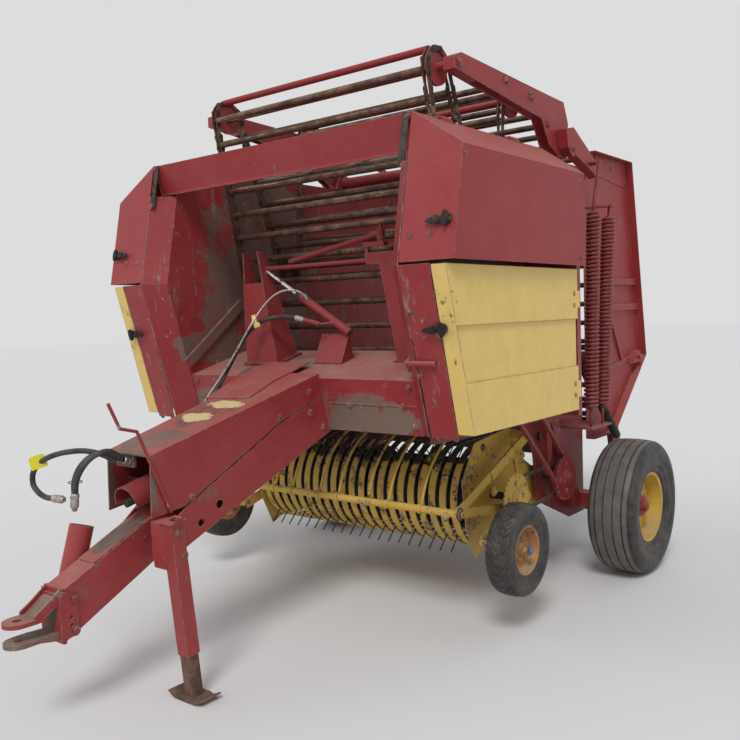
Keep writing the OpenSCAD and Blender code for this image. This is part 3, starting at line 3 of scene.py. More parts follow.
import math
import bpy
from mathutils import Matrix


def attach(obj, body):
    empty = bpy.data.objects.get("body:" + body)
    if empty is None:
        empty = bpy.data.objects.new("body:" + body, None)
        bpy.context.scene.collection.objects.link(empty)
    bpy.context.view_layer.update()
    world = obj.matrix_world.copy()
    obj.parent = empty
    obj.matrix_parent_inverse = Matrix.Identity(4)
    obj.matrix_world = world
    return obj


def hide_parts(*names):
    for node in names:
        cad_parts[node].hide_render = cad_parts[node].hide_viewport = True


bl_info = {
    "name": "Round Baler Looks",
    "version": (1, 0, 0),
    "blender": (4, 5, 0),
    "location": "3D View > Sidebar > Baler",
    "description": "Builds the finishes, fittings, hoses and stage of a towed round baler",
    "category": "Object",
}

import bmesh
import bpy
import numpy as np
from bpy.props import FloatProperty, FloatVectorProperty, PointerProperty
from mathutils import Matrix

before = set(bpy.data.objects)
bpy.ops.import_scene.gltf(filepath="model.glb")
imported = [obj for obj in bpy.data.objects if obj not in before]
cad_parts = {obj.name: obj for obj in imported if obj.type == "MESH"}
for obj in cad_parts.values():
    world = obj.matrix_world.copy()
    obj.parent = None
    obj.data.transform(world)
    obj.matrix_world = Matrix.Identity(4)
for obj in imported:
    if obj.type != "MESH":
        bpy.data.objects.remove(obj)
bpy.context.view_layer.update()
FINISHES = {}

# Places in metres: hubs of the left wheels as (x, y, z), axes of the reel and of its driving disc as (y, z),
# and the x of both discs
ROAD_HUB = (1.14, 1.14, 0.3925)
GAUGE_HUB = (1.055, -0.125, 0.419)
REEL_AXIS = (0.170, 0.595)
DRIVE_AXIS = (0.690, 0.615)
DISC_X = 0.879

# The camera that was solved for the photograph: place in metres, angles in degrees, picture sizes in pixels
CAMERA_PLACE = (3.0, -3.69, 1.58)
CAMERA_TURN, CAMERA_PITCH, CAMERA_ROLL = 38.41, 3.84, 1.88
FOCAL_PIXELS = 839.1
PHOTO_PIXELS = 740.0
SENSOR_MM = 36.0


class BalerColours(bpy.types.PropertyGroup):
    """Colours of the paints, metals and rubber."""

    red: FloatVectorProperty(name="Red", description="Paint of the body", subtype="COLOR", size=4,
                             min=0, max=1, default=(0.300, 0.026, 0.030, 1))
    # Faded red is both paint bleached by the sun and painted top light on faces that look up
    faded_and_lit_red: FloatVectorProperty(name="Faded red", description="Red paint where the sun has bleached it",
                                   subtype="COLOR", size=4, min=0, max=1, default=(0.44, 0.135, 0.115, 1))
    yellow: FloatVectorProperty(name="Yellow", description="Paint of the doors, the pickup and the rims",
                                subtype="COLOR", size=4, min=0, max=1, default=(0.78, 0.55, 0.17, 1))
    pickup_yellow: FloatVectorProperty(name="Pickup yellow", description="Dirtier yellow of the pickup",
                                       subtype="COLOR", size=4, min=0, max=1,
                                       default=(0.60, 0.38, 0.060, 1))
    rust: FloatVectorProperty(name="Rust", description="Rust on bare iron", subtype="COLOR", size=4,
                              min=0, max=1, default=(0.105, 0.055, 0.036, 1))
    steel: FloatVectorProperty(name="Bare steel", description="Iron worn bright", subtype="COLOR", size=4,
                               min=0, max=1, default=(0.30, 0.27, 0.24, 1))
    dust: FloatVectorProperty(name="Dust", description="Field dust and dried mud", subtype="COLOR", size=4,
                              min=0, max=1, default=(0.33, 0.27, 0.205, 1))
    rubber: FloatVectorProperty(name="Rubber", description="Rubber of tyres and hoses", subtype="COLOR",
                                size=4, min=0, max=1, default=(0.022, 0.022, 0.024, 1))


class BalerSizes(bpy.types.PropertyGroup):
    """Sizes of the fittings."""

    bolt: FloatProperty(name="Bolt head", description="Width of a bolt head across its flats",
                        subtype="DISTANCE", unit="LENGTH", min=0.01, max=0.05, default=0.024)
    wire: FloatProperty(name="Spring wire", description="Diameter of the wire of the apron springs",
                        subtype="DISTANCE", unit="LENGTH", min=0.010, max=0.022, default=0.018)
    coil: FloatProperty(name="Spring coil", description="Outer diameter of the apron springs",
                        subtype="DISTANCE", unit="LENGTH", min=0.06, max=0.09, default=0.088)
    hose: FloatProperty(name="Hose", description="Outer diameter of the hydraulic hoses",
                        subtype="DISTANCE", unit="LENGTH", min=0.012, max=0.035, default=0.024)


def unit(v):
    """Vectors divided by their length, along the last axis."""
    v = np.asarray(v, float)
    return v / np.maximum(np.linalg.norm(v, axis=-1, keepdims=True), 1e-12)


def across(axis):
    """Two unit vectors square to each axis: its cross product with x, or with y where it lies near x, and
    the cross product of the axis with that."""
    axis = unit(axis)
    helper = np.where(np.abs(axis[..., :1]) < 0.8, np.array([1.0, 0, 0]), np.array([0, 1.0, 0]))
    one = unit(np.cross(axis, helper))
    return one, np.cross(axis, one)


def lathe(centres, axes, profile, sides):
    """Profiles of (distance along the axis, radius) turned round each axis: centre + along * axis
    + radius * (cos t * one + sin t * two)."""
    centres = np.atleast_2d(np.asarray(centres, float))
    axes = np.broadcast_to(unit(np.atleast_2d(axes)), centres.shape)
    one, two = across(axes)
    profile = np.asarray(profile, float)
    t = np.arange(sides) * 2 * math.pi / sides
    ring = np.cos(t)[:, None] * one[:, None, None] + np.sin(t)[:, None] * two[:, None, None]
    grid = centres[:, None, None] + profile[:, 0][:, None, None] * axes[:, None, None]
    grid = grid + profile[:, 1][:, None, None] * ring
    return [wrap(g, True) for g in grid]


def wrap(grid, closed, ends=False):
    """A grid of points as (points, quads); closed joins the last column to the first, ends caps both first
    and last rows with one face each."""
    rows, cols = grid.shape[:2]
    r = np.arange(rows - 1)[:, None]
    c = np.arange(cols if closed else cols - 1)[None]
    n = (c + 1) % cols
    quads = np.stack([r * cols + c, r * cols + n, (r + 1) * cols + n, (r + 1) * cols + c], -1)
    faces = [quads.reshape(-1, 4)]
    if ends:
        faces.append(np.arange(cols)[None, ::-1])
        faces.append((rows - 1) * cols + np.arange(cols)[None])
    return grid.reshape(-1, 3), faces


def sweep(path, section, up, closed=False):
    """A section of (sideways, upwards) points carried along a path: point + a * side + b * top. Side is the
    path's direction crossed with up, and top is side crossed with the direction. An open path has its ends
    capped."""
    path = np.asarray(path, float)
    section = np.asarray(section, float)
    step = np.gradient(path, axis=0)
    if closed:
        step = np.roll(path, -1, 0) - np.roll(path, 1, 0)
    run = unit(step)
    side = unit(np.cross(run, np.asarray(up, float)))
    top = np.cross(side, run)
    grid = path[:, None] + section[None, :, :1] * side[:, None] + section[None, :, 1:] * top[:, None]
    if closed:
        grid = np.concatenate([grid, grid[:1]])
    return wrap(grid, True, not closed)


def circle(radius, sides):
    """Points of a circle as (sideways, upwards) pairs."""
    t = np.arange(sides) * 2 * math.pi / sides
    return np.stack([radius * np.cos(t), radius * np.sin(t)], -1)


def slab(outline, thickness, corner, x_dir, y_dir):
    """A plate: outline points placed by two directions and thickened along their cross product."""
    outline = np.asarray(outline, float)
    x_dir = np.asarray(x_dir, float)
    y_dir = np.asarray(y_dir, float)
    low = np.asarray(corner, float) + outline[:, :1] * x_dir + outline[:, 1:] * y_dir
    high = low + thickness * unit(np.cross(x_dir, y_dir))
    return wrap(np.stack([low, high]), True, True)


def smooth_path(points, count):
    """A curve through the points: a cubic between each two, whose parameter is the length along them and
    whose slopes are those of the points on both sides."""
    points = np.asarray(points, float)
    s = np.concatenate([[0], np.cumsum(np.linalg.norm(np.diff(points, axis=0), axis=1))])
    slope = np.gradient(points, s, axis=0)
    t = np.linspace(0, s[-1], count)
    i = np.clip(np.searchsorted(s, t, side="right") - 1, 0, len(s) - 2)
    h = (s[i + 1] - s[i])[:, None]
    u = (t - s[i])[:, None] / h
    return ((2 * u**3 - 3 * u**2 + 1) * points[i] + (u**3 - 2 * u**2 + u) * h * slope[i]
            + (3 * u**2 - 2 * u**3) * points[i + 1] + (u**3 - u**2) * h * slope[i + 1])


def ring_of(x, centre, radius, angles):
    """Points of a circle in a plane square to x: (x, y + radius * cos t, z + radius * sin t)."""
    y, z = centre
    return np.stack([np.full(len(angles), x), y + radius * np.cos(angles), z + radius * np.sin(angles)], -1)


def both(shells):
    """The shells and their mirror images across the machine's middle plane, with the faces turned round."""
    return shells + [(v * np.array([-1, 1, 1]), [f[:, ::-1] for f in faces]) for v, faces in shells]


def piece(name, shells, body, finish, sharp=35, bevel=0.0, replaces=()):
    """Joins shells into one mesh object that rides on a body and wears a finish. Edges sharper than the
    angle in degrees stay crisp, and the bevel is the width of a rounded edge."""
    points = np.concatenate([v for v, _ in shells])
    starts = np.cumsum([0] + [len(v) for v, _ in shells])[:-1]
    faces = [f + start for (_, group), start in zip(shells, starts) for f in group]
    loops = np.concatenate([f.ravel() for f in faces]).astype(np.int32)
    sizes = np.concatenate([np.full(len(f), f.shape[1]) for f in faces])
    mesh = bpy.data.meshes.new(name)
    mesh.vertices.add(len(points))
    mesh.vertices.foreach_set("co", points.astype(np.float32).ravel())
    mesh.loops.add(len(loops))
    mesh.loops.foreach_set("vertex_index", loops)
    mesh.polygons.add(len(sizes))
    mesh.polygons.foreach_set("loop_start", (np.cumsum(sizes) - sizes).astype(np.int32))
    mesh.update(calc_edges=True)
    mesh.validate()
    shape = bmesh.new()
    shape.from_mesh(mesh)
    bmesh.ops.remove_doubles(shape, verts=shape.verts, dist=1e-6)
    bmesh.ops.recalc_face_normals(shape, faces=shape.faces)
    shape.to_mesh(mesh)
    shape.free()
    mesh.polygons.foreach_set("use_smooth", np.ones(len(mesh.polygons), bool))
    mesh.set_sharp_from_angle(angle=math.radians(sharp))
    thing = bpy.data.objects.new(name, mesh)
    bpy.context.scene.collection.objects.link(thing)
    mesh.materials.append(FINISHES[finish])
    if bevel:
        edge = thing.modifiers.new("Rounded edges", "BEVEL")
        edge.width = bevel
        edge.segments = 2
        edge.limit_method = "ANGLE"
    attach(thing, body)
    if replaces:
        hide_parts(*replaces)
    return thing


class Tree:
    """Shorthand for adding and joining shader nodes."""

    def __init__(self, tree):
        self.tree = tree

    def add(self, kind, inputs=(), **settings):
        """A node with its settings and its inputs, each a value or another node's output."""
        node = self.tree.nodes.new(kind)
        for key, value in settings.items():
            setattr(node, key, value)
        for key, value in dict(inputs).items():
            self.feed(node.inputs[key], value)
        return node

    def feed(self, socket, value):
        """Joins an output to a socket, or sets the socket's own value."""
        if isinstance(value, bpy.types.NodeSocket):
            self.tree.links.new(value, socket)
        else:
            socket.default_value = value

    def math(self, operation, a, b=0.0, clamp=False):
        """One arithmetic step."""
        return self.add("ShaderNodeMath", {0: a, 1: b}, operation=operation, use_clamp=clamp).outputs[0]

    def ramp(self, value, low, high):
        """A smooth step from 0 to 1 of a value between two limits."""
        return self.add("ShaderNodeMapRange", {0: value, 1: low, 2: high},
                        interpolation_type="SMOOTHSTEP").outputs[0]

    def mix(self, factor, a, b):
        """A blend of two colours."""
        return self.add("ShaderNodeMix", {0: factor, 6: a, 7: b}, data_type="RGBA").outputs[2]

    def noise(self, place, scale, detail=4.0, rough=0.6):
        """Fractal noise at a place."""
        return self.add("ShaderNodeTexNoise", {"Vector": place, "Scale": scale, "Detail": detail,
                                               "Roughness": rough}).outputs[0]

    def place(self):
        """Object coordinates."""
        return self.add("ShaderNodeTexCoord").outputs["Object"]

    def stretch(self, place, scale):
        """A place scaled by a vector."""
        return self.add("ShaderNodeMapping", {"Vector": place, "Scale": scale}).outputs[0]


def group(name, inputs, build):
    """A node group with named inputs, whose output Mask is what build(tree, sockets by name) returns."""
    made = bpy.data.node_groups.new(name, "ShaderNodeTree")
    for label, value in inputs.items():
        kind = "NodeSocketFloat" if isinstance(value, float) else "NodeSocketVector"
        made.interface.new_socket(name=label, in_out="INPUT", socket_type=kind).default_value = value
    made.interface.new_socket(name="Mask", in_out="OUTPUT", socket_type="NodeSocketFloat")
    tree = Tree(made)
    start = tree.add("NodeGroupInput")
    end = tree.add("NodeGroupOutput")
    tree.feed(end.inputs["Mask"], build(tree, start.outputs))
    return made


def edge_wear(t, given):
    """Rubbed edges: how far the bevelled normal leaves the face's own, broken up by noise."""
    bevel = t.add("ShaderNodeBevel", {"Radius": given["Width"]}, samples=4).outputs[0]
    own = t.add("ShaderNodeNewGeometry").outputs["Normal"]
    close = t.add("ShaderNodeVectorMath", {0: bevel, 1: own}, operation="DOT_PRODUCT").outputs["Value"]
    edge = t.ramp(close, 0.999, 0.86)
    rough = t.noise(t.place(), given["Scale"])
    wear = t.math("ADD", t.math("MULTIPLY", edge, given["Amount"]), t.math("SUBTRACT", rough, 0.5))
    return t.math("MULTIPLY", t.ramp(wear, 0.42, 0.62), edge)


def mottle(t, given):
    """Cloudy patches at two scales, sharpened by the contrast."""
    large = t.noise(t.place(), given["Scale"])
    small = t.noise(t.place(), t.math("MULTIPLY", given["Scale"], 7.3), 6.0, 0.7)
    cloud = t.math("ADD", t.math("MULTIPLY", large, 0.7), t.math("MULTIPLY", small, 0.3))
    low = t.math("SUBTRACT", given["Level"], given["Softness"])
    high = t.math("ADD", given["Level"], given["Softness"])
    return t.ramp(cloud, low, high)


def chips(t, given):
    """Small flakes: fine noise that passes a threshold only inside larger clouds."""
    cloud = t.ramp(t.noise(t.place(), t.math("MULTIPLY", given["Scale"], 0.18), 3.0), 0.42, 0.66)
    fine = t.noise(t.place(), given["Scale"], 7.0, 0.72)
    level = t.math("SUBTRACT", 0.74, t.math("MULTIPLY", t.math("MULTIPLY", cloud, given["Amount"]), 0.3))
    return t.ramp(t.math("SUBTRACT", fine, level), 0.0, 0.025)


def dust(t, given):
    """Dust on faces that look up, and splashes below a height, both broken up by noise."""
    shape = t.add("ShaderNodeNewGeometry")
    up = t.add("ShaderNodeSeparateXYZ", {0: shape.outputs["Normal"]}).outputs[2]
    height = t.add("ShaderNodeSeparateXYZ", {0: t.place()}).outputs[2]
    rough = t.noise(t.place(), given["Scale"], 6.0, 0.7)
    lying = t.ramp(up, 0.25, 0.95)
    low = t.ramp(height, given["Splash height"], 0.15)
    total = t.math("ADD", t.math("MULTIPLY", lying, 0.75), t.math("MULTIPLY", low, 0.6))
    level = t.math("ADD", t.math("MULTIPLY", total, given["Amount"]), t.math("SUBTRACT", rough, 0.5))
    return t.math("MULTIPLY", t.ramp(level, 0.12, 0.7), 0.9)


def patch(t, given):
    """An area round a centre: distance in units of its half sizes, its border shifted by noise."""
    gap = t.add("ShaderNodeVectorMath", {0: t.place(), 1: given["Centre"]}, operation="SUBTRACT").outputs[0]
    scaled = t.add("ShaderNodeVectorMath", {0: gap, 1: given["Half size"]}, operation="DIVIDE").outputs[0]
    far = t.add("ShaderNodeVectorMath", {0: scaled}, operation="LENGTH").outputs["Value"]
    rough = t.math("MULTIPLY", t.math("SUBTRACT", t.noise(t.place(), given["Scale"], 6.0, 0.7), 0.5),
                   given["Ragged"])
    return t.ramp(t.math("ADD", far, rough), 1.05, 0.95)


def streaks(t, given):
    """Long scrapes and runs: noise drawn out along one axis by the stretch."""
    runs = t.noise(t.stretch(t.place(), given["Stretch"]), given["Scale"], 5.0, 0.7)
    return t.ramp(runs, given["Level"], t.math("ADD", given["Level"], 0.09))


def make_groups():
    """The shared masks by name."""
    return {
        "edge": group("Edge wear", {"Width": 0.006, "Scale": 22.0, "Amount": 1.0}, edge_wear),
        "mottle": group("Mottle", {"Scale": 3.0, "Level": 0.5, "Softness": 0.12}, mottle),
        "chips": group("Paint chips", {"Scale": 45.0, "Amount": 0.5}, chips),
        "dust": group("Dust", {"Scale": 9.0, "Amount": 0.6, "Splash height": 0.9}, dust),
        "patch": group("Patch", {"Centre": (0.0, 0.0, 0.0), "Half size": (0.1, 0.1, 0.1), "Scale": 20.0,
                                 "Ragged": 1.0}, patch),
        "streaks": group("Streaks", {"Stretch": (6.0, 6.0, 0.7), "Scale": 3.0, "Level": 0.6}, streaks),
    }


def mask(t, groups, name, **values):
    """One shared mask placed in a material with its own values."""
    node = t.add("ShaderNodeGroup")
    node.node_tree = groups[name]
    for key, value in values.items():
        t.feed(node.inputs[key.replace("_", " ")], value)
    return node.outputs["Mask"]


def surface(name, base):
    """A material with its Principled shader at a base roughness; returns (tree, shader)."""
    made = bpy.data.materials.new(name)
    made.use_nodes = True
    made.node_tree.nodes.clear()
    t = Tree(made.node_tree)
    shader = t.add("ShaderNodeBsdfPrincipled", {"Roughness": base, "Specular IOR Level": 0.3})
    t.add("ShaderNodeOutputMaterial", {"Surface": shader.outputs[0]})
    FINISHES[name] = made
    return t, shader


def relief(t, shader, height, depth, strength):
    """Small relief on the surface."""
    bump = t.add("ShaderNodeBump", {"Height": height, "Distance": depth, "Strength": strength})
    t.feed(shader.inputs["Normal"], bump.outputs[0])


def paint(groups, name, coat, faded_and_lit_tone, fade_and_light_amount, chip, dusty, edge=1.0, rough=0.42, spots=(), scrape=0.63):
    """Worn paint: bleached clouds, scrapes, chips and rubbed edges down to rust and steel, then dust.
    Spots are (centre, half size, colour, ragged, scale, share that is covered) areas."""
    look = bpy.context.scene.baler_colours
    t, shader = surface(name, rough)
    shape = t.add("ShaderNodeNewGeometry")
    up = t.add("ShaderNodeSeparateXYZ", {0: shape.outputs["Normal"]}).outputs[2]
    clouds = mask(t, groups, "mottle", Scale=2.1, Level=0.5, Softness=0.16)
    # Painted top light: faces that look up turn towards the faded tone, partly real sun bleaching
    sun = t.ramp(up, -0.1, 0.9)
    fade_and_top_light = t.math("ADD", t.math("MULTIPLY", clouds, 0.35), t.math("MULTIPLY", sun, 0.75))
    fade_and_top_light = t.math("MULTIPLY", fade_and_top_light, fade_and_light_amount, True)
    colour = t.mix(fade_and_top_light, tuple(coat), tuple(faded_and_lit_tone))
    deep = mask(t, groups, "mottle", Scale=9.0, Level=0.46, Softness=0.2)
    colour = t.mix(t.math("MULTIPLY", deep, 0.22), colour, tuple(c * 0.55 for c in coat[:3]) + (1,))
    bare = t.mix(mask(t, groups, "mottle", Scale=31.0, Level=0.5, Softness=0.1), tuple(look.rust),
                 tuple(look.steel))
    scraped = mask(t, groups, "streaks", Level=scrape)
    flaked = mask(t, groups, "chips", Scale=42.0, Amount=chip)
    rubbed = mask(t, groups, "edge", Amount=edge)
    for centre, half, tint, ragged, scale, share in spots:
        area = mask(t, groups, "patch", Centre=centre, Half_size=half, Ragged=ragged, Scale=scale)
        if share < 1:
            broken = mask(t, groups, "mottle", Scale=scale * 0.6, Level=0.62 - share * 0.25, Softness=0.05)
            area = t.math("MULTIPLY", area, broken)
        colour = t.mix(area, colour, tint)
    worn = t.math("MAXIMUM", t.math("MULTIPLY", scraped, chip), t.math("MAXIMUM", flaked, rubbed))
    colour = t.mix(worn, colour, bare)
    powder = mask(t, groups, "dust", Amount=dusty)
    colour = t.mix(t.math("MULTIPLY", powder, 0.75), colour, tuple(look.dust))
    t.feed(shader.inputs["Base Color"], colour)
    matt = t.math("ADD", t.math("MULTIPLY", fade_and_top_light, 0.22), t.math("MULTIPLY", powder, 0.35))
    matt = t.math("ADD", matt, t.math("MULTIPLY", worn, 0.2))
    t.feed(shader.inputs["Roughness"], t.math("ADD", matt, rough, True))
    grain = t.noise(t.place(), 260.0, 3.0)
    relief(t, shader, t.math("SUBTRACT", t.math("MULTIPLY", grain, 0.3), worn), 0.0006, 0.5)


def iron(groups, name, bright, dark, shine, dusty, metal=0.7, rough=0.5, spots=()):
    """Bare iron: worn bright patches among rust, with dust. Spots are (centre, half size, colour) of parts
    that are painted."""
    look = bpy.context.scene.baler_colours
    t, shader = surface(name, rough)
    patches = mask(t, groups, "mottle", Scale=12.0, Level=1.0 - shine, Softness=0.12)
    colour = t.mix(patches, dark, bright)
    pits = mask(t, groups, "chips", Scale=60.0, Amount=0.9)
    colour = t.mix(pits, colour, tuple(look.rust))
    for centre, half, tint in spots:
        area = mask(t, groups, "patch", Centre=centre, Half_size=half, Ragged=0.0)
        colour = t.mix(t.math("SUBTRACT", area, t.math("MULTIPLY", pits, 0.6), True), colour, tuple(tint))
        patches = t.math("SUBTRACT", patches, area, True)
    powder = mask(t, groups, "dust", Amount=dusty)
    colour = t.mix(t.math("MULTIPLY", powder, 0.8), colour, tuple(look.dust))
    t.feed(shader.inputs["Base Color"], colour)
    bare = t.math("MULTIPLY", t.math("SUBTRACT", 1.0, powder, True), t.math("MULTIPLY", patches, metal))
    t.feed(shader.inputs["Metallic"], bare)
    t.feed(shader.inputs["Roughness"], t.math("SUBTRACT", rough + 0.25, t.math("MULTIPLY", bare, 0.35)))
    relief(t, shader, t.noise(t.place(), 120.0, 6.0, 0.7), 0.0012, 0.6)


def rubber(groups, name, colour, dusty, grain, splash, treads=()):
    """Rubber with grey dust and fine cracks. Treads are (y, z, radius) of an axle: where the squares of the
    distances in y and z from it add up to more than the radius squared, the road has bleached the rubber."""
    look = bpy.context.scene.baler_colours
    t, shader = surface(name, 0.62)
    grey = tuple(0.5 * c + 0.035 for c in look.dust[:3]) + (1,)
    worn = mask(t, groups, "mottle", Scale=14.0, Level=0.5, Softness=0.18)
    powder = mask(t, groups, "dust", Amount=dusty, Scale=16.0, Splash_height=splash)
    tone = t.mix(t.math("MULTIPLY", worn, 0.35), tuple(colour), grey)
    place = t.add("ShaderNodeSeparateXYZ", {0: t.place()}).outputs
    bleached = (0.165, 0.150, 0.135, 1)
    for y, z, radius in treads:
        squares = [t.math("POWER", t.math("ABSOLUTE", t.math("SUBTRACT", place[i], middle)), 2.0)
                   for i, middle in ((1, y), (2, z))]
        outside = t.ramp(t.math("ADD", *squares), radius ** 2 - 0.002, radius ** 2)
        share = t.math("ADD", 0.55, t.math("MULTIPLY", worn, 0.3))
        tone = t.mix(t.math("MULTIPLY", outside, share), tone, bleached)
    t.feed(shader.inputs["Base Color"], t.mix(t.math("MULTIPLY", powder, 0.8), tone, tuple(look.dust)))
    t.feed(shader.inputs["Roughness"], t.math("ADD", 0.5, t.math("MULTIPLY", powder, 0.4)))
    relief(t, shader, t.noise(t.place(), grain, 5.0, 0.65), 0.0008, 0.5)


def build_finishes():
    """Every finish, and the finish of each CAD node."""
    look = bpy.context.scene.baler_colours
    g = make_groups()
    red, faded_and_lit_tone, yellow = look.red, look.faded_and_lit_red, look.yellow
    bare_deck = (0.20, 0.135, 0.105, 1)
    scuffed = (0.185, 0.105, 0.085, 1)
    old_yellow = (0.66, 0.53, 0.25, 1)
    chain_dark = (0.045, 0.030, 0.024, 1)
    paint(g, "red_paint", red, faded_and_lit_tone, 0.6, 0.4, 0.35)
    paint(g, "wall_paint", red, faded_and_lit_tone, 0.55, 0.55, 0.4, scrape=0.57, spots=[
        ((-0.78, 0.05, 1.80), (0.06, 0.48, 0.75), scuffed, 1.4, 6.0, 0.75),
        ((-0.78, -0.42, 1.42), (0.06, 0.30, 0.09), scuffed, 1.2, 8.0, 0.8),
        ((0.78, -0.2, 1.75), (0.05, 0.5, 0.6), scuffed, 1.7, 6.0, 0.6),
        ((0.0, 0.9, 0.9), (1.2, 0.7, 0.5), scuffed, 1.5, 5.0, 0.35)])
    paint(g, "cover_red", red, faded_and_lit_tone, 0.55, 0.12, 0.25, 0.5, rough=0.45)
    grimy = (0.125, 0.075, 0.060, 1)
    paint(g, "tongue_red", red, faded_and_lit_tone, 0.7, 0.45, 0.3, rough=0.4, spots=[
        ((-0.04, -1.10, 1.15), (0.15, 0.24, 0.07), grimy, 1.6, 7.0, 0.45),
        ((-0.03, -1.42, 1.05), (0.17, 0.12, 0.08), scuffed, 1.6, 7.0, 0.6),
        ((-0.03, -1.18, 1.13), (0.10, 0.055, 0.06), old_yellow, 3.0, 7.0, 0.85),
        ((-0.01, -1.00, 1.18), (0.11, 0.050, 0.06), old_yellow, 3.0, 7.0, 0.85),
        ((0.0, -1.57, 0.90), (0.19, 0.045, 0.20), scuffed, 1.5, 9.0, 0.85),
        ((0.0, -1.63, 0.68), (0.055, 0.15, 0.10), grimy, 0.6, 9.0, 0.95),
        ((0.06, -1.80, 0.56), (0.02, 0.13, 0.06), scuffed, 1.8, 16.0, 0.3),
        ((0.19, -1.36, 0.80), (0.03, 0.22, 0.07), scuffed, 1.8, 14.0, 0.35)])
    paint(g, "clevis_red", red, faded_and_lit_tone, 0.6, 0.9, 0.4, 2.2, 0.5, spots=[
        ((0.0, -2.07, 0.385), (0.09, 0.13, 0.045), scuffed, 1.2, 12.0, 0.85),
        ((0.0, -1.98, 0.47), (0.045, 0.10, 0.06), look.rust, 1.4, 14.0, 0.8)])
    paint(g, "deck_red", red, faded_and_lit_tone, 0.9, 0.6, 0.5, spots=[
        ((0.0, -0.54, 1.08), (0.95, 0.10, 0.13), bare_deck, 1.3, 5.0, 0.75),
        ((-0.35, -0.36, 1.33), (0.34, 0.16, 0.08), scuffed, 1.4, 8.0, 0.7)])
    paint(g, "deep_red", tuple(c * 0.85 for c in red), faded_and_lit_tone, 0.3, 0.25, 0.25, rough=0.38)
    # Its lighter yellow is both faded paint and painted top light on faces that look up
    paint(g, "yellow_paint", yellow, tuple(min(1, c * 1.12 + 0.03) for c in yellow), 0.7, 0.2, 0.15, 0.7,
          spots=[
        ((1.08, -0.76, 1.40), (0.06, 0.07, 0.42), look.rust, 0.9, 40.0, 0.05),
        ((-1.08, -0.76, 1.40), (0.06, 0.07, 0.42), look.rust, 0.9, 40.0, 0.05)])
    paint(g, "pickup_paint", look.pickup_yellow, yellow, 0.5, 0.85, 0.3, 1.3, 0.5)
    black_grime = (0.032, 0.028, 0.024, 1)
    paint(g, "band_paint", look.pickup_yellow, yellow, 0.3, 0.85, 0.15, 1.5, 0.45, spots=[
        ((0.0, 0.16, 0.87), (1.5, 0.36, 0.13), black_grime, 1.2, 12.0, 0.85),
        ((0.0, -0.05, 0.62), (1.5, 0.20, 0.28), black_grime, 0.6, 26.0, 0.18)])
    paint(g, "pickup_frame_paint", look.pickup_yellow, yellow, 0.4, 0.85, 0.4, 1.3, 0.5, spots=[
        ((DISC_X, 0.43, 0.605), (0.012, 0.8, 0.4), chain_dark, 0.0, 5.0, 1)])
    paint(g, "rim_paint", look.pickup_yellow, yellow, 0.2, 0.6, 0.4, 1.0, 0.5, spots=[
        ((0.0, *ROAD_HUB[1:]), (1.19, 0.165, 0.165), (0.30, 0.20, 0.115, 1), 0.5, 6.0, 0.75),
        (ROAD_HUB, (1.0, 0.0612, 0.0612), red, 0.0, 5.0, 1),
        ((-ROAD_HUB[0], *ROAD_HUB[1:]), (1.0, 0.0612, 0.0612), red, 0.0, 5.0, 1)])
    paint(g, "gauge_rim_paint", (0.36, 0.155, 0.055, 1), yellow, 0.35, 0.7, 0.4, 1.2, 0.6)
    paint(g, "spring_red", tuple(c * 0.75 for c in red[:3]) + (1,), faded_and_lit_tone, 0.2, 0.25, 0.12, 0.6, 0.4)
    iron(g, "rusty_nut", (0.20, 0.12, 0.09, 1), (0.09, 0.045, 0.03, 1), 0.5, 0.2, 0.3, 0.6)
    iron(g, "worn_slat", (0.22, 0.125, 0.080, 1), (0.055, 0.022, 0.018, 1), 0.5, 0.03, 0.8, 0.28, spots=[
        ((0.0, -0.19, 2.845), (1.6, 0.17, 0.052), tuple(c * 0.9 for c in red[:3]) + (1,))])
    iron(g, "chain_iron", (0.14, 0.10, 0.08, 1), chain_dark, 0.42, 0.15)
    iron(g, "reel_iron", (0.11, 0.085, 0.065, 1), (0.035, 0.025, 0.02, 1), 0.42, 0.15, spots=[
        ((DISC_X, *REEL_AXIS), (0.0088, 0.128, 0.128), look.pickup_yellow)])
    iron(g, "shaft_iron", (0.14, 0.10, 0.08, 1), chain_dark, 0.42, 0.15, spots=[
        ((DISC_X, *DRIVE_AXIS), (0.0088, 0.115, 0.115), red)])
    iron(g, "chrome", (0.72, 0.72, 0.72, 1), (0.50, 0.49, 0.47, 1), 0.7, 0.05, 0.95, 0.25)
    iron(g, "blued_nut", (0.20, 0.23, 0.30, 1), (0.10, 0.11, 0.14, 1), 0.6, 0.15, 0.8, 0.4)
    paint(g, "blank_tag", (0.74, 0.66, 0.02, 1), (0.75, 0.66, 0.20, 1), 0.3, 0.1, 0.2, 0.2)
    iron(g, "dark_iron", (0.10, 0.085, 0.075, 1), (0.03, 0.025, 0.022, 1), 0.45, 0.35, 0.5)
    iron(g, "pale_steel", (0.50, 0.46, 0.40, 1), (0.22, 0.17, 0.13, 1), 0.6, 0.1, 0.8, 0.45)
    iron(g, "bolt_zinc", (0.46, 0.43, 0.39, 1), (0.22, 0.17, 0.13, 1), 0.6, 0.1, 0.8, 0.42)
    paint(g, "bolt_red", tuple(c * 0.9 for c in red[:3]) + (1,), faded_and_lit_tone, 0.5, 1.0, 0.3, 1.6, 0.5)
    paint(g, "bolt_yellow", look.pickup_yellow, yellow, 0.5, 1.0, 0.3, 1.6, 0.5)
    iron(g, "black_iron", (0.035, 0.033, 0.033, 1), (0.016, 0.015, 0.015, 1), 0.5, 0.15, 0.3, 0.5)
    rubber(g, "tyre_rubber", look.rubber, 0.22, 90.0, 0.4, treads=[(*ROAD_HUB[1:], 0.3845)])
    rubber(g, "gauge_rubber", look.rubber, 0.16, 90.0, 0.3)
    rubber(g, "hose_rubber", look.rubber, 0.15, 300.0, 0.2)
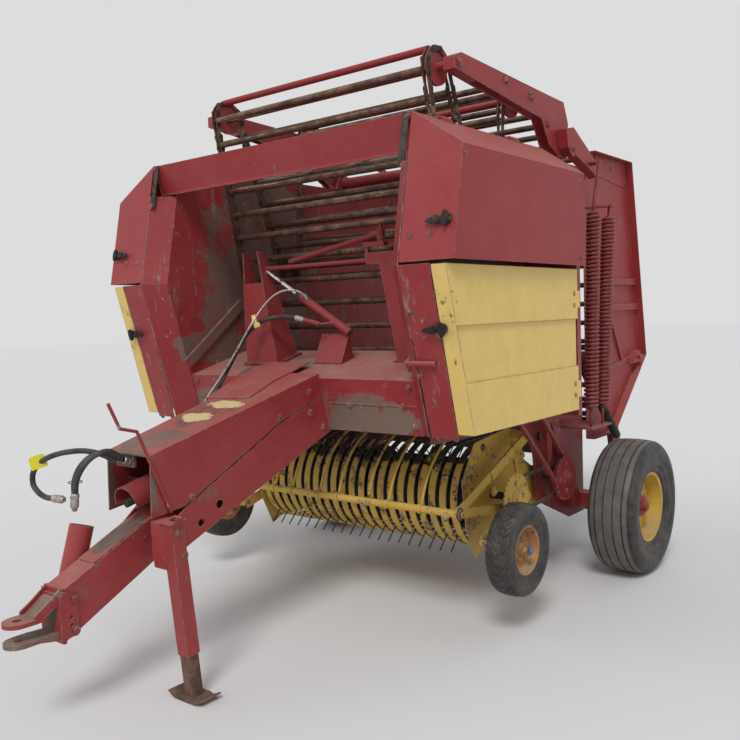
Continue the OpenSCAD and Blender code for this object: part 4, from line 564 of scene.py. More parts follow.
    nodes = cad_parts
    wear = {
        "wall_paint": ["wall_left", "wall_right"],
        "red_paint": ["front_beam", "axle_beam", "gate_left", "gate_right", "gate_frame", "takeup_arms",
                      "takeup_shafts"],
        "cover_red": ["cover_left", "cover_right"],
        "tongue_red": ["tongue_beam", "tongue_cover", "jack_tube", "pto_tube"],
        "clevis_red": ["clevis", "hose_rod"],
        "deck_red": ["deck_beam"],
        "deep_red": ["springs_left", "springs_right", "twine_tower", "pto_shroud", "drive_left",
                     "twine_arm"],
        "yellow_paint": ["door_left", "door_right"],
        "pickup_paint": ["windguard", "gauge_arms"],
        "band_paint": ["pickup_bands"],
        "pickup_frame_paint": ["pickup_frame"],
        "rim_paint": ["road_rim_left", "road_rim_right"],
        "worn_slat": ["apron_front", "apron_rear", "floor_roll"],
        "chain_iron": ["gate_rolls"],
        "reel_iron": ["pickup_reel"],
        "shaft_iron": ["cross_shafts"],
        "dark_iron": ["gearbox", "gate_barrel_left", "gate_barrel_right", "pto_shaft"],
        "rusty_nut": ["jack_leg"],
        "pale_steel": ["gate_rod_left", "gate_rod_right"],
        "bolt_zinc": ["hose_couplers"],
        "hose_rubber": ["hose_a", "hose_b", "hose_c", "twine_hose"],
        "tyre_rubber": ["road_tyre_left", "road_tyre_right", "gauge_wheel_left", "gauge_wheel_right"],
    }
    listed = {node: finish for finish, names in wear.items() for node in names}
    for node, thing in nodes.items():
        thing.data.materials.clear()
        thing.data.materials.append(FINISHES[listed.get(node, "red_paint")])


def build_stage():
    """Pale floor, soft lamps, pale sky and the camera at the photograph's place."""
    scene = bpy.context.scene
    scene.view_settings.view_transform = "Standard"
    t, shader = surface("pale_floor", 0.9)
    tone = t.mix(t.noise(t.place(), 0.6), (0.71, 0.70, 0.69, 1), (0.74, 0.73, 0.72, 1))
    t.feed(shader.inputs["Base Color"], tone)
    radius = np.array([0.0, 4, 10, 25, 60])[:, None]
    turn = (np.arange(64) * 2 * math.pi / 64)[None]
    ground = np.stack([radius * np.cos(turn), radius * np.sin(turn), np.full((5, 64), -0.001)], -1)
    points, faces = wrap(ground, True)
    mesh = bpy.data.meshes.new("floor")
    mesh.from_pydata(points.tolist(), [], faces[0][:, ::-1].tolist())
    shape = bmesh.new()
    shape.from_mesh(mesh)
    bmesh.ops.remove_doubles(shape, verts=shape.verts, dist=1e-6)
    shape.to_mesh(mesh)
    shape.free()
    mesh.materials.append(FINISHES["pale_floor"])
    floor = bpy.data.objects.new("floor", mesh)
    scene.collection.objects.link(floor)
    world = bpy.data.worlds.new("Soft sky")
    world.use_nodes = True
    world.node_tree.nodes.clear()
    t = Tree(world.node_tree)
    path = t.add("ShaderNodeLightPath")
    seen = t.math("MAXIMUM", path.outputs["Is Camera Ray"],
                  t.math("MAXIMUM", path.outputs["Is Glossy Ray"], path.outputs["Is Transmission Ray"]))
    light = t.add("ShaderNodeBackground", {"Color": (0.93, 0.96, 1.0, 1), "Strength": 0.60})
    shown = t.add("ShaderNodeBackground", {"Color": (0.72, 0.72, 0.72, 1), "Strength": 1.0})
    both_skies = t.add("ShaderNodeMixShader", {0: seen, 1: light.outputs[0], 2: shown.outputs[0]})
    t.add("ShaderNodeOutputWorld", {"Surface": both_skies.outputs[0]})
    scene.world = world
    lamps = [("key", (3.5, -6.5, 8.0), 18.0, 1.45), ("fill", (-6.0, -4.0, 5.0), 40.0, 0.30)]
    for name, place, angle, power in lamps:
        lamp = bpy.data.lights.new(name, "SUN")
        lamp.energy = power
        lamp.angle = math.radians(angle)
        thing = bpy.data.objects.new(name, lamp)
        back = unit(np.array(place))
        one, two = across(back)
        rows = [[one[i], two[i], back[i], place[i]] for i in range(3)]
        thing.matrix_world = Matrix(rows + [[0, 0, 0, 1]])
        scene.collection.objects.link(thing)
    turn, pitch, roll = np.radians([CAMERA_TURN, CAMERA_PITCH, CAMERA_ROLL])
    ahead = np.array([-math.sin(turn) * math.cos(pitch), math.cos(turn) * math.cos(pitch),
                      -math.sin(pitch)])
    right = np.array([math.cos(turn), math.sin(turn), 0])
    down = np.cross(ahead, right)
    right, down = (right * math.cos(roll) + down * math.sin(roll),
                   -right * math.sin(roll) + down * math.cos(roll))
    lens = bpy.data.cameras.new("camera")
    lens.sensor_width = SENSOR_MM
    lens.lens = SENSOR_MM * FOCAL_PIXELS / PHOTO_PIXELS
    lens.clip_end = 200.0
    camera = bpy.data.objects.new("camera", lens)
    rows = [[right[i], -down[i], -ahead[i], CAMERA_PLACE[i]] for i in range(3)]
    camera.matrix_world = Matrix(rows + [[0, 0, 0, 1]])
    scene.collection.objects.link(camera)
    scene.camera = camera


# Springs of one side in metres: top, bottom, and how far the two hooks reach on
SPRINGS = [((0.985, 0.990, 2.130), (0.985, 0.910, 0.990), 2.180, 0.8825),
           ((0.985, 1.205, 2.110), (0.985, 1.080, 0.990), 2.1708, 0.8825)]


def build_springs():
    """Wound springs: a wire circle whose centre climbs a helix, narrower at its ends, round a core tube,
    with a hook and a washer at each end, and the link bar."""
    sizes = bpy.context.scene.baler_sizes
    shells = []
    for top, low, top_z, low_z in SPRINGS:
        top, low = np.array(top), np.array(low)
        axis = unit(top - low)
        one, two = across(axis)
        length = np.linalg.norm(top - low)
        turns = int(length / (sizes.wire * 1.30))
        t = np.linspace(0, turns * 2 * math.pi, turns * 16)
        share = t / t[-1]
        end = np.minimum(share, 1 - share) * turns
        radius = (sizes.coil - sizes.wire) / 2 * (0.72 + 0.28 * np.clip(end / 0.9, 0, 1))[:, None]
        centre = low + np.outer(share * length, axis)
        spiral = centre + radius * (np.outer(np.cos(t), one) + np.outer(np.sin(t), two))
        shells.append(sweep(spiral, circle(sizes.wire / 2, 6), up=axis))
        shells += lathe(low, axis, [[0.004, 0], [0.004, 0.020], [0.02, 0.027], [length - 0.02, 0.027],
                                    [length - 0.004, 0.020], [length - 0.004, 0]], 16)
        hooks = [[top - axis * 0.01, top + axis * (top_z - top[2]) / axis[2]],
                 [low - axis * (low[2] - low_z) / axis[2], low + axis * 0.01]]
        shells += bars(hooks, 0.008, 12)
        for centre in (top, low):
            shells += lathe(centre, axis, [[-0.007, 0], [-0.007, 0.018], [0.007, 0.018], [0.007, 0]], 16)
    run = unit([0, 0.089, 0.262])
    shells.append(slab([[0, -0.015], [0.277, -0.015], [0.277, 0.015], [0, 0.015]], 0.016,
                       (0.977, 0.994, 2.170), run, np.cross([1.0, 0, 0], run)))
    shells += bars([[[0.9286, 1.080, 2.420], [0.985, 1.080, 2.420]]], 0.012, 16)
    piece("spring_coils_left", shells, "frame", "spring_red", 50, replaces=["springs_left"])
    piece("spring_coils_right", both(shells)[len(shells):], "frame", "spring_red", 50,
          replaces=["springs_right"])


# Sprockets of the apron in metres: y, z, radius, and the side on which the chain passes
SPROCKETS = {"front_low": (0.080, 1.200, 0.110, 1), "arm_front": (-0.250, 2.742, 0.092, 1),
             "frame_idler": (0.240, 1.900, 0.085, -1), "arm_rear": (0.470, 2.712, 0.098, 1),
             "gate_top": (1.800, 2.360, 0.098, 1), "gate_rear": (1.960, 1.290, 0.098, 1),
             "gate_low": (1.520, 0.930, 0.098, 1)}


def ring_point(wheel, angle):
    """A point of a sprocket's circle."""
    return np.array([wheel[0] + wheel[2] * math.cos(angle), wheel[1] + wheel[2] * math.sin(angle)])


def tangent(a, b):
    """Where the chain leaves one sprocket and meets the next: both lie at the angle of the line of centres
    plus the arc cosine of the signed radii's difference over its length."""
    step = np.array(b[:2]) - np.array(a[:2])
    ra, rb = a[2] * a[3], b[2] * b[3]
    angle = math.atan2(step[1], step[0]) + math.acos((ra - rb) / np.linalg.norm(step))
    way = np.array([math.cos(angle), math.sin(angle)])
    return np.array(a[:2]) + way * ra, np.array(b[:2]) + way * rb


def tangent_from(point, wheel, side):
    """Where a line from a point touches a sprocket."""
    step = np.array(point) - np.array(wheel[:2])
    off = math.acos(wheel[2] / np.linalg.norm(step)) * side * wheel[3]
    return ring_point(wheel, math.atan2(step[1], step[0]) - off)


def arc(wheel, first, last):
    """Points round a sprocket between two of its points."""
    steps = 10
    a0 = math.atan2(first[1] - wheel[1], first[0] - wheel[0])
    a1 = math.atan2(last[1] - wheel[1], last[0] - wheel[0])
    turn = ((a1 - a0) * -wheel[3]) % (2 * math.pi)
    return [ring_point(wheel, a0 - wheel[3] * turn * i / steps) for i in range(steps + 1)]


def chain_line(names, start, finish):
    """The chain's centre line in the y-z plane: the start, arcs round the sprockets and the finish."""
    wheels = [SPROCKETS[name] for name in names]
    legs = [tangent(a, b) for a, b in zip(wheels[:-1], wheels[1:])]
    enter = [tangent_from(start, wheels[0], 1)] + [leg[1] for leg in legs]
    leave = [leg[0] for leg in legs] + [tangent_from(finish, wheels[-1], -1)]
    points = [np.array(start)]
    for wheel, first, last in zip(wheels, enter, leave):
        points += arc(wheel, first, last)
    return np.array(points + [np.array(finish)])


def on_run(run, y):
    """The point of a straight run at y."""
    return run[0] + (run[1] - run[0]) * (y - run[0][0]) / (run[1][0] - run[0][0])


def chain_links(line):
    """Figure-eight plates over every second link, on both faces of the chain, and rivet heads at the joints."""
    pitch, skip = 0.068, 0.012
    end, waist, thick = 0.0155, 0.0095, 0.004
    outer_plate, inner_plate, outer_head, inner_head = 0.7511, 0.7149, 0.755, 0.715
    s = np.concatenate([[0], np.cumsum(np.linalg.norm(np.diff(line, axis=0), axis=1))])
    at = np.arange(skip, s[-1] - skip, pitch)
    joint = np.stack([0 * at, np.interp(at, s, line[:, 0]), np.interp(at, s, line[:, 1])], -1)
    a = np.linspace(0.5, 1.5, 6) * math.pi
    half = np.stack([end * np.cos(a), end * np.sin(a)], -1)
    shells = []
    for x in (outer_plate, inner_plate):
        for first, second in zip(joint[:-1:2], joint[1::2]):
            gap = np.linalg.norm(second - first)
            outline = np.concatenate([half, [[gap / 2, -waist]], -half + [gap, 0], [[gap / 2, waist]]])
            run = unit(second - first)
            shells.append(slab(outline, thick, first + [x, 0, 0], run, np.cross([1.0, 0, 0], run)))
    head = [[0, 0.0065], [0.003, 0.0065], [0.0045, 0.004], [0.0045, 0]]
    shells += lathe(joint + [outer_head, 0, 0], [1, 0, 0], head, 8)
    return shells + lathe(joint + [inner_head, 0, 0], [-1, 0, 0], head, 8)


def build_chains():
    """Links of the apron chains, in front on the frame and behind on the tailgate. The two parts end 25 and
    70 mm apart in y, at the places given to on_run."""
    top = tangent(SPROCKETS["arm_rear"], SPROCKETS["gate_top"])
    low = tangent(SPROCKETS["gate_low"], SPROCKETS["front_low"])
    front = chain_line(["front_low", "arm_front", "frame_idler", "arm_rear"], on_run(low, 1.225),
                       on_run(top, 1.280))
    rear = chain_line(["gate_top", "gate_rear", "gate_low"], on_run(top, 1.350), on_run(low, 1.250))
    piece("apron_links_front", both(chain_links(front)), "frame", "chain_iron", 40)
    piece("apron_links_rear", both(chain_links(rear)), "tailgate", "chain_iron", 40)


def bolts(points, axes, size):
    """Hexagon heads on washers: six-sided and round profiles turned round each bolt's axis."""
    r = size / 2
    head = [[0.0, 0], [0.0, r * 1.15], [r * 0.62, r * 1.15], [r * 0.75, r * 0.98], [r * 0.75, 0]]
    washer = [[-0.001, 0], [-0.001, r * 1.6], [r * 0.14, r * 1.6], [r * 0.14, 0]]
    return lathe(points, axes, head, 6) + lathe(points, axes, washer, 16)


def build_fasteners():
    """Bolt heads on each body, from short tables of places: mirrored rows first, then those of one side."""
    size = bpy.context.scene.baler_sizes.bolt
    out = [1, 0, 0]
    fore = [0, -1, 0.197]
    under = [0, -1, -0.263]
    deck = [0, -1, 0.245]
    tongue = [1, -0.045, 0]
    mirrored = [
        ([[0.864, -0.25, 2.742], [0.864, 0.47, 2.712], [0.864, 0.20, 2.748], [0.864, 0.66, 2.60]], out, 1.4),
        ([[0.928, 0.85, 2.482], [0.928, 1.205, 2.385]], out, 1.3),
        ([[0.930, -0.5995, 1.02], [1.02, -0.5995, 1.02], [0.90, -0.684, 1.30], [0.90, -0.758, 1.58]],
         under, 0.8),
        ([[0.365, -0.5355, 1.145], [0.553, -0.5355, 1.145], [0.690, -0.5355, 1.145],
          [0.742, -0.512, 1.048], [0.742, -0.5575, 1.235]], deck, 1),
        ([[0.1925, -0.637, 1.203], [0.1970, -0.545, 1.020], [0.1925, -0.637, 1.10],
          [0.1830, -0.845, 1.100], [0.1595, -1.372, 0.815]], tongue, 1),
        ([[0.0704, -1.905, 0.505], [0.0704, -1.905, 0.378]], out, 1.1),
        ([[0.868, -0.683, 2.425], [0.868, -0.727, 2.215]], fore, 0.8),
        ([[0.785, -0.30, 2.428], [0.785, 0.10, 2.428], [0.785, 0.40, 2.428]], out, 0.7),
    ]
    shells = []
    for points, axes, times in mirrored:
        shells += both(bolts(points, axes, size * times))
    shells += bolts([[0.294, -1.560, 0.72], [0.294, -1.535, 0.62]], out, size)
    piece("frame_bolts", shells, "frame", "bolt_red", 30)
    for side, sign in (("left", 1), ("right", -1)):
        cover = bolts([[sign * 0.936, -0.7865, 1.900], [sign * 1.037, -0.7865, 1.904]], fore, size * 0.8)
        side_row = [[sign * 1.165, 0.40, 2.22], [sign * 1.165, 0.40, 1.83], [sign * 1.165, -0.70, 2.22]]
        cover += bolts(side_row, [sign, 0, 0], size * 0.7)
        piece("cover_bolts_" + side, cover, "upper_cover_" + side, "bolt_red", 30)
        door = bolts([[sign * 1.125, 0.40, z] for z in (1.12, 1.18, 1.59, 1.65)], [sign, 0, 0], size * 0.7)
        piece("door_bolts_" + side, door, "lower_door_" + side, "bolt_yellow", 30)
    gate = [[0.8055, 1.677, 2.470], [0.8055, 1.915, 2.405], [0.8055, 1.50, 2.43], [0.8055, 1.60, 1.10],
            [0.8055, 1.90, 1.00]]
    piece("tailgate_bolts", both(bolts(gate, out, size * 1.2)), "tailgate", "bolt_red", 30)
    guard = [[0.849, -0.443, 0.617], [0.849, -0.31, 0.60], [0.865, 0.28, 0.80], [0.865, -0.02, 0.66]]
    piece("pickup_bolts", both(bolts(guard, out, size * 1.3)), "pickup", "bolt_yellow", 30)


def bars(ends, radius, sides):
    """Round bars with eased ends: each is turned as a lathe from its first point to its second."""
    shells = []
    for a, b in np.asarray(ends, float):
        length = np.linalg.norm(b - a)
        ease = min(radius * 0.3, length / 4)
        shells += lathe(a, b - a, [[0, 0], [0, radius - ease], [ease, radius], [length - ease, radius],
                                   [length, radius - ease], [length, 0]], sides)
    return shells


# Hose routes of the CAD model in metres, with the direction that their sides are squared to
HOSES = {
    "hose_a": ([[-0.040, -1.562, 0.985], [-0.045, -1.600, 1.003], [-0.060, -1.650, 1.030],
                [-0.080, -1.700, 1.022], [-0.103, -1.740, 0.980], [-0.120, -1.758, 0.920],
                [-0.128, -1.756, 0.868]], (1, 0, 0)),
    "hose_b": ([[0.0, -1.562, 0.985], [-0.006, -1.605, 1.010], [-0.020, -1.655, 1.043],
                [-0.042, -1.710, 1.030], [-0.064, -1.752, 0.985], [-0.082, -1.772, 0.930],
                [-0.090, -1.774, 0.880]], (1, 0, 0)),
    "hose_c": ([[-0.080, -1.562, 0.985], [-0.090, -1.600, 1.002], [-0.115, -1.640, 1.025],
                [-0.160, -1.680, 1.038], [-0.210, -1.715, 1.036], [-0.262, -1.745, 1.025],
                [-0.312, -1.768, 1.005], [-0.354, -1.785, 0.975], [-0.376, -1.795, 0.935],
                [-0.370, -1.798, 0.892], [-0.334, -1.796, 0.862], [-0.286, -1.792, 0.846],
                [-0.234, -1.788, 0.846]], (0, 0.6, 1)),
    "twine_hose": ([[-0.250, -0.900, 1.150], [-0.275, -0.830, 1.210], [-0.305, -0.750, 1.275],
                    [-0.338, -0.660, 1.350], [-0.366, -0.570, 1.430], [-0.376, -0.500, 1.495],
                    [-0.356, -0.450, 1.542], [-0.300, -0.432, 1.566], [-0.235, -0.425, 1.577],
                    [-0.170, -0.412, 1.580], [-0.110, -0.398, 1.572], [-0.060, -0.385, 1.558]],
                   (1, 0.4, 0)),
}
# The coupler's profile in metres: (distance along the hose, radius)
COUPLER = [[0.0001, 0], [0.0001, 0.0125], [0.004, 0.0165], [0.020, 0.0165], [0.022, 0.0145],
           [0.028, 0.0145], [0.030, 0.017], [0.056, 0.017], [0.058, 0.0145], [0.060, 0.0118],
           [0.070, 0.0118], [0.072, 0.0100], [0.072, 0]]


def build_cords():
    """Hoses: circles carried along their smooth routes, with couplers turned round the last direction."""
    radius = bpy.context.scene.baler_sizes.hose / 2
    for name, (points, up) in HOSES.items():
        path = smooth_path(points, 72)
        hose = piece(name + "_rubber", [sweep(path, circle(radius, 14), up)], "frame", "hose_rubber",
                     50, replaces=[name])
        free = name != "twine_hose"
        extra = []
        if free:
            way = unit(path[-1] - path[-2])
            extra = [piece(name + "_coupler", lathe(path[-1], way, COUPLER, 18), "frame", "bolt_zinc",
                           replaces=["hose_couplers"] if name == "hose_a" else ())]


def build_hose_fittings():
    """Crimped sleeves at the clamp and on the twine cylinder's hose, ties round the hoses, the blank tag."""
    sleeve = [[0, 0.0122], [0, 0.0150], [0.010, 0.0150], [0.012, 0.0138], [0.022, 0.0138], [0.024, 0.0150],
              [0.034, 0.0150], [0.036, 0.0122]]
    starts = [[-0.080, -1.563, 0.9855], [-0.040, -1.563, 0.9855], [0.0, -1.563, 0.9855]]
    shells = lathe(starts, [0, -1, 0.42], sleeve, 16)
    end = [[-0.050, 0.0122], [-0.050, 0.0155], [-0.012, 0.0155], [-0.010, 0.0138], [0.0, 0.0138]]
    shells += lathe([-0.060, -0.385, 1.558], [0.96, 0.21, -0.27], end, 16)
    piece("hose_sleeves", shells, "frame", "bolt_zinc", 30)
    turn = np.linspace(0, 2 * math.pi, 25)[:-1, None]
    band = [[-0.0025, -0.0012], [0.0025, -0.0012], [0.0025, 0.0012], [-0.0025, 0.0012]]
    side = np.array([1.0, 0, 0])
    ties = []
    for centre, wide, tall, high in [((-0.047, -1.612, 1.009), 0.062, 0.017, np.array([0, 0.35, 0.94])),
                                     ((-0.101, -1.765, 0.925), 0.034, 0.023, np.array([0, 1.0, 0.1]))]:
        loop = np.array(centre) + wide * np.cos(turn) * side + tall * np.sin(turn) * high
        ties.append(sweep(loop, band, np.cross(side, high), closed=True))
    piece("hose_ties", ties, "frame", "hose_rubber", 40)
    outline = [[-0.027, -0.02], [-0.027, 0.02], [-0.02, 0.026], [0.02, 0.026], [0.027, 0.02],
               [0.027, -0.02]]
    across_tag = np.array([0.433, 0.865, 0.255])
    up_tag = np.array([-0.270, -0.146, 0.951])
    piece("blank_tag", [slab(outline, 0.0015, (-0.334, -1.790, 0.990), across_tag * 1.25, up_tag * 1.25)],
          "frame", "blank_tag", bevel=0.0003)


# Half sections of the tyres in metres: (distance from the wheel's middle plane, radius)
ROAD_HALF = [[0.0, 0.3925], [0.0235, 0.3925], [0.0240, 0.3830], [0.0320, 0.3828], [0.0325, 0.3922],
             [0.0735, 0.3895], [0.0742, 0.3800], [0.0822, 0.3795], [0.0830, 0.3882], [0.1030, 0.3850],
             [0.1120, 0.3800], [0.1155, 0.3740], [0.1175, 0.3760], [0.1240, 0.3690], [0.1300, 0.3600],
             [0.1340, 0.3480], [0.1380, 0.3310], [0.1398, 0.3140], [0.1392, 0.2990], [0.1375, 0.2955],
             [0.1375, 0.2900], [0.1362, 0.2880], [0.1330, 0.2700], [0.1275, 0.2500], [0.1275, 0.2460],
             [0.1225, 0.2420], [0.1170, 0.2250], [0.1170, 0.2150], [0.1120, 0.2085], [0.1050, 0.2040],
             [0.1008, 0.1985]]
GAUGE_HALF = [[0.0, 0.2250], [0.0060, 0.2250], [0.0110, 0.2249], [0.0160, 0.2247], [0.0210, 0.2244],
              [0.0260, 0.2240], [0.0310, 0.2235], [0.0360, 0.2228], [0.0410, 0.2221], [0.0460, 0.2213],
              [0.0510, 0.2200], [0.0555, 0.2170], [0.0605, 0.2110], [0.0635, 0.2030], [0.0665, 0.1900],
              [0.0672, 0.1800], [0.0655, 0.1700], [0.0640, 0.1690], [0.0590, 0.1500], [0.0560, 0.1400],
              [0.0560, 0.1370], [0.0525, 0.1290], [0.0486, 0.1182]]


def whole_section(half):
    """A half section, from the middle outwards, made whole: mirror image, half and closing point."""
    half = np.asarray(half, float)
    both_halves = np.concatenate([half[:0:-1] * [-1, 1], half])
    return np.concatenate([both_halves, both_halves[:1]])


def tyre(centre, half, tread, sides):
    """A tyre turned round x: (x, (r - cut) * cos t, (r - cut) * sin t), with t round the wheel and the
    cut from tread(x, t, r)."""
    section = whole_section(half)
    t = (np.arange(sides) * 2 * math.pi / sides)[None]
    x = section[:, :1]
    radius = section[:, 1:] - tread(x, t, section[:, 1:])
    grid = np.stack([x + 0 * t, radius * np.cos(t), radius * np.sin(t)], -1) + np.array(centre)
    return wrap(grid, True)


def smooth_tread(x, t, r):
    """Worn flat ribs: only a slow wave of half a millimetre."""
    return 0.0005 * np.sin(7 * t) * (r > 0.37)


def block_tread(x, t, r):
    """Blocks: grooves 4 mm deep where a zigzag phase of the turn, or the ribs' borders, come near zero."""
    phase = (t * 36 / (2 * math.pi) + 0.35 * np.abs(x) / 0.012) % 1.0
    cut = (phase < 0.26) | (np.abs(np.abs(x) - 0.0260) < 0.0012)
    return 0.004 * cut * (r > 0.214)


def build_wheels():
    """Tyres with their treads, the gauge rims, wheel nuts, hub caps and spindle nuts."""
    turn = np.arange(6) * math.pi / 3 + 0.3
    for side, sign in (("left", 1), ("right", -1)):
        hub = (sign * ROAD_HUB[0], *ROAD_HUB[1:])
        piece("road_tread_" + side, [tyre(hub, ROAD_HALF, smooth_tread, 128)],
              "wheel_" + side, "tyre_rubber", 28, replaces=["road_tyre_" + side])
        ring = ring_of(sign * 1.1725, ROAD_HUB[1:], 0.092, turn)
        dome = [[-0.002, 0.044], [0.004, 0.044], [0.006, 0.034], [0.022, 0.032], [0.030, 0.022], [0.032, 0]]
        cap = lathe([sign * 1.2, *ROAD_HUB[1:]], [sign, 0, 0], dome, 20)
        piece("wheel_nuts_" + side, bolts(ring, [sign, 0, 0], 0.03), "wheel_" + side, "bolt_zinc",
              30)
        piece("hub_cap_" + side, cap, "wheel_" + side, "deep_red", 40)
        lip = [[0.0985, 0.186], [0.1010, 0.186], [0.1065, 0.2005], [0.1050, 0.2065], [0.1020, 0.2065],
               [0.0985, 0.196]]
        piece("rim_lip_" + side, lathe(hub, [sign, 0, 0], lip, 72), "wheel_" + side, "rim_paint",
              40)
        place = (sign * GAUGE_HUB[0], *GAUGE_HUB[1:])
        piece("gauge_tread_" + side, [tyre(place, GAUGE_HALF, block_tread, 216)], "gauge_" + side,
              "gauge_rubber", 28, replaces=["gauge_wheel_" + side])
        rim = [[-0.045, 0.0900], [-0.045, 0.1180], [0.045, 0.1180], [0.050, 0.1215], [0.052, 0.1190],
               [0.046, 0.1080], [0.020, 0.1010], [0.006, 0.0930], [0.005, 0.0700], [0.014, 0.0600],
               [0.016, 0.0350], [0.030, 0.0310], [0.032, 0.0152], [-0.030, 0.0152], [-0.030, 0.0300],
               [0.000, 0.0300], [0.000, 0.0900], [-0.045, 0.0900]]
        piece("gauge_rim_" + side, lathe(place, [sign, 0, 0], rim, 60), "gauge_" + side, "gauge_rim_paint",
              30)
        studs = ring_of(sign * 1.0695, GAUGE_HUB[1:], 0.05, turn[:5] * 1.2)
        piece("gauge_bolts_" + side, bolts(studs, [sign, 0, 0], 0.018), "gauge_" + side, "gauge_rim_paint",
              30)
        nut = bolts([[sign * 1.115, *GAUGE_HUB[1:]]], [sign, 0, 0], 0.036)
        piece("spindle_nut_" + side, nut, "pickup", "blued_nut", 30)


def latches(point, normal, turn, way):
    """A rubber strap latch: a round foot, an oval knob on it, and the strap with its boss that reaches from
    it along the sheet. The outlines lie in the sheet's plane, turned by the given angle, and way is the
    side to which the strap goes."""
    normal = unit(normal)
    flat = unit(np.array([math.cos(turn), 0.0, math.sin(turn)]) - normal * normal[2] * math.sin(turn)) * way
    high = np.cross(normal, flat)
    high = high if high[2] > 0 else -high
    t = np.linspace(0, 2 * math.pi, 25)[:-1]
    shells = lathe(point, normal, [[-0.001, 0], [-0.001, 0.022], [0.006, 0.020], [0.010, 0.012],
                                   [0.020, 0.011], [0.020, 0]], 16)
    knob_half = (0.014, 0.033)
    boss_half = (0.018, 0.017)
    boss_at = 0.046
    knob = np.stack([knob_half[0] * np.cos(t), knob_half[1] * np.sin(t)], -1)
    strap = np.array([[0, -0.011], [0.030, -0.013], [0.078, -0.012], [0.098, -0.006], [0.098, 0.007],
                      [0.078, 0.012], [0.030, 0.011], [0, 0.012]])
    boss = np.stack([boss_at + boss_half[0] * np.cos(t), boss_half[1] * np.sin(t)], -1)
    for outline, low, thick in ((knob, 0.014, 0.014), (strap, 0.012, 0.009), (boss, 0.010, 0.014)):
        sheet = slab(outline, thick, point + normal * low, flat, high)
        if np.dot(np.cross(flat, high), normal) < 0:
            sheet = slab(outline * [1, -1], thick, point + normal * low, flat, -high)
        shells.append(sheet)
    return shells


def build_twine_gear():
    """Chrome rod, steel line, pale clamp and hexagon fitting of the twine gear; weld seam and straps of the
    body. The rod and its gland lie on the line from the cylinder's high end to its low end."""
    high = np.array([-0.423, -0.300, 1.846])
    low = np.array([0.187, -0.300, 1.482])
    rod_end = high + (low - high) * 0.42
    sleeve = [[0, 0.0105], [0, 0.0123], [0.262, 0.0123], [0.262, 0.0105]]
    rod = lathe(high + (low - high) * 0.03, low - high, sleeve, 18)
    piece("twine_rod", rod, "frame", "chrome", 40)
    gland = lathe(rod_end, low - high, [[-0.014, 0.0125], [-0.014, 0.021], [-0.004, 0.0235],
                                        [0.020, 0.0235], [0.022, 0.0232]], 24)
    piece("twine_gland", gland, "frame", "dark_iron", 40)
    line = [[-0.285, -0.900, 1.165], [-0.300, -0.760, 1.290], [-0.335, -0.610, 1.420],
            [-0.352, -0.480, 1.555], [-0.318, -0.425, 1.640], [-0.245, -0.405, 1.700],
            [-0.170, -0.385, 1.722], [-0.110, -0.345, 1.705], [-0.090, -0.318, 1.672]]
    shells = [sweep(smooth_path(line, 60), circle(0.0065, 10), (1, 0.4, 0))]
    fitting = [[-0.030, 0.0068], [-0.030, 0.011], [0.0, 0.011], [0.008, 0.008]]
    shells += lathe(line[-1], [0.3, 0.4, -0.86], fitting, 6)
    piece("steel_line", shells, "frame", "bolt_zinc", 40)
    outline = [[-0.016, -0.040], [0.020, -0.040], [0.020, -0.015], [0.004, -0.010], [0.004, 0.036],
               [-0.022, 0.036], [-0.022, 0.0]]
    clamp = slab(outline, 0.016, (-0.345, -0.455, 1.560), unit([0.9, 0.2, 0.25]), unit([-0.28, 0.05, 0.96]))
    piece("line_clamp", [clamp], "frame", "yellow_paint", 40, 0.004)
    seams = [[[sign * x, -0.537, 1.143] for x in (0.235, 0.765)] for sign in (1, -1)]
    piece("deck_seam", bars(seams, 0.0035, 8), "frame", "deck_red", 40)
    down = unit([0, -0.197, -0.98])
    wide, long, over, thick = 0.034, 0.235, 0.055, 0.0025
    strap = slab([[0, 0], [wide, 0], [wide, long], [0, long]], thick, (0.840, -0.682, 2.437),
                 (1, 0, 0), down)
    wrap_over = slab([[0, 0], [wide, 0], [wide, over], [0, over]], -thick, (0.840, -0.684, 2.4405),
                     (1, 0, 0), (0, 1, 0))
    piece("beam_straps", both([strap, wrap_over]), "frame", "dark_iron", 40)


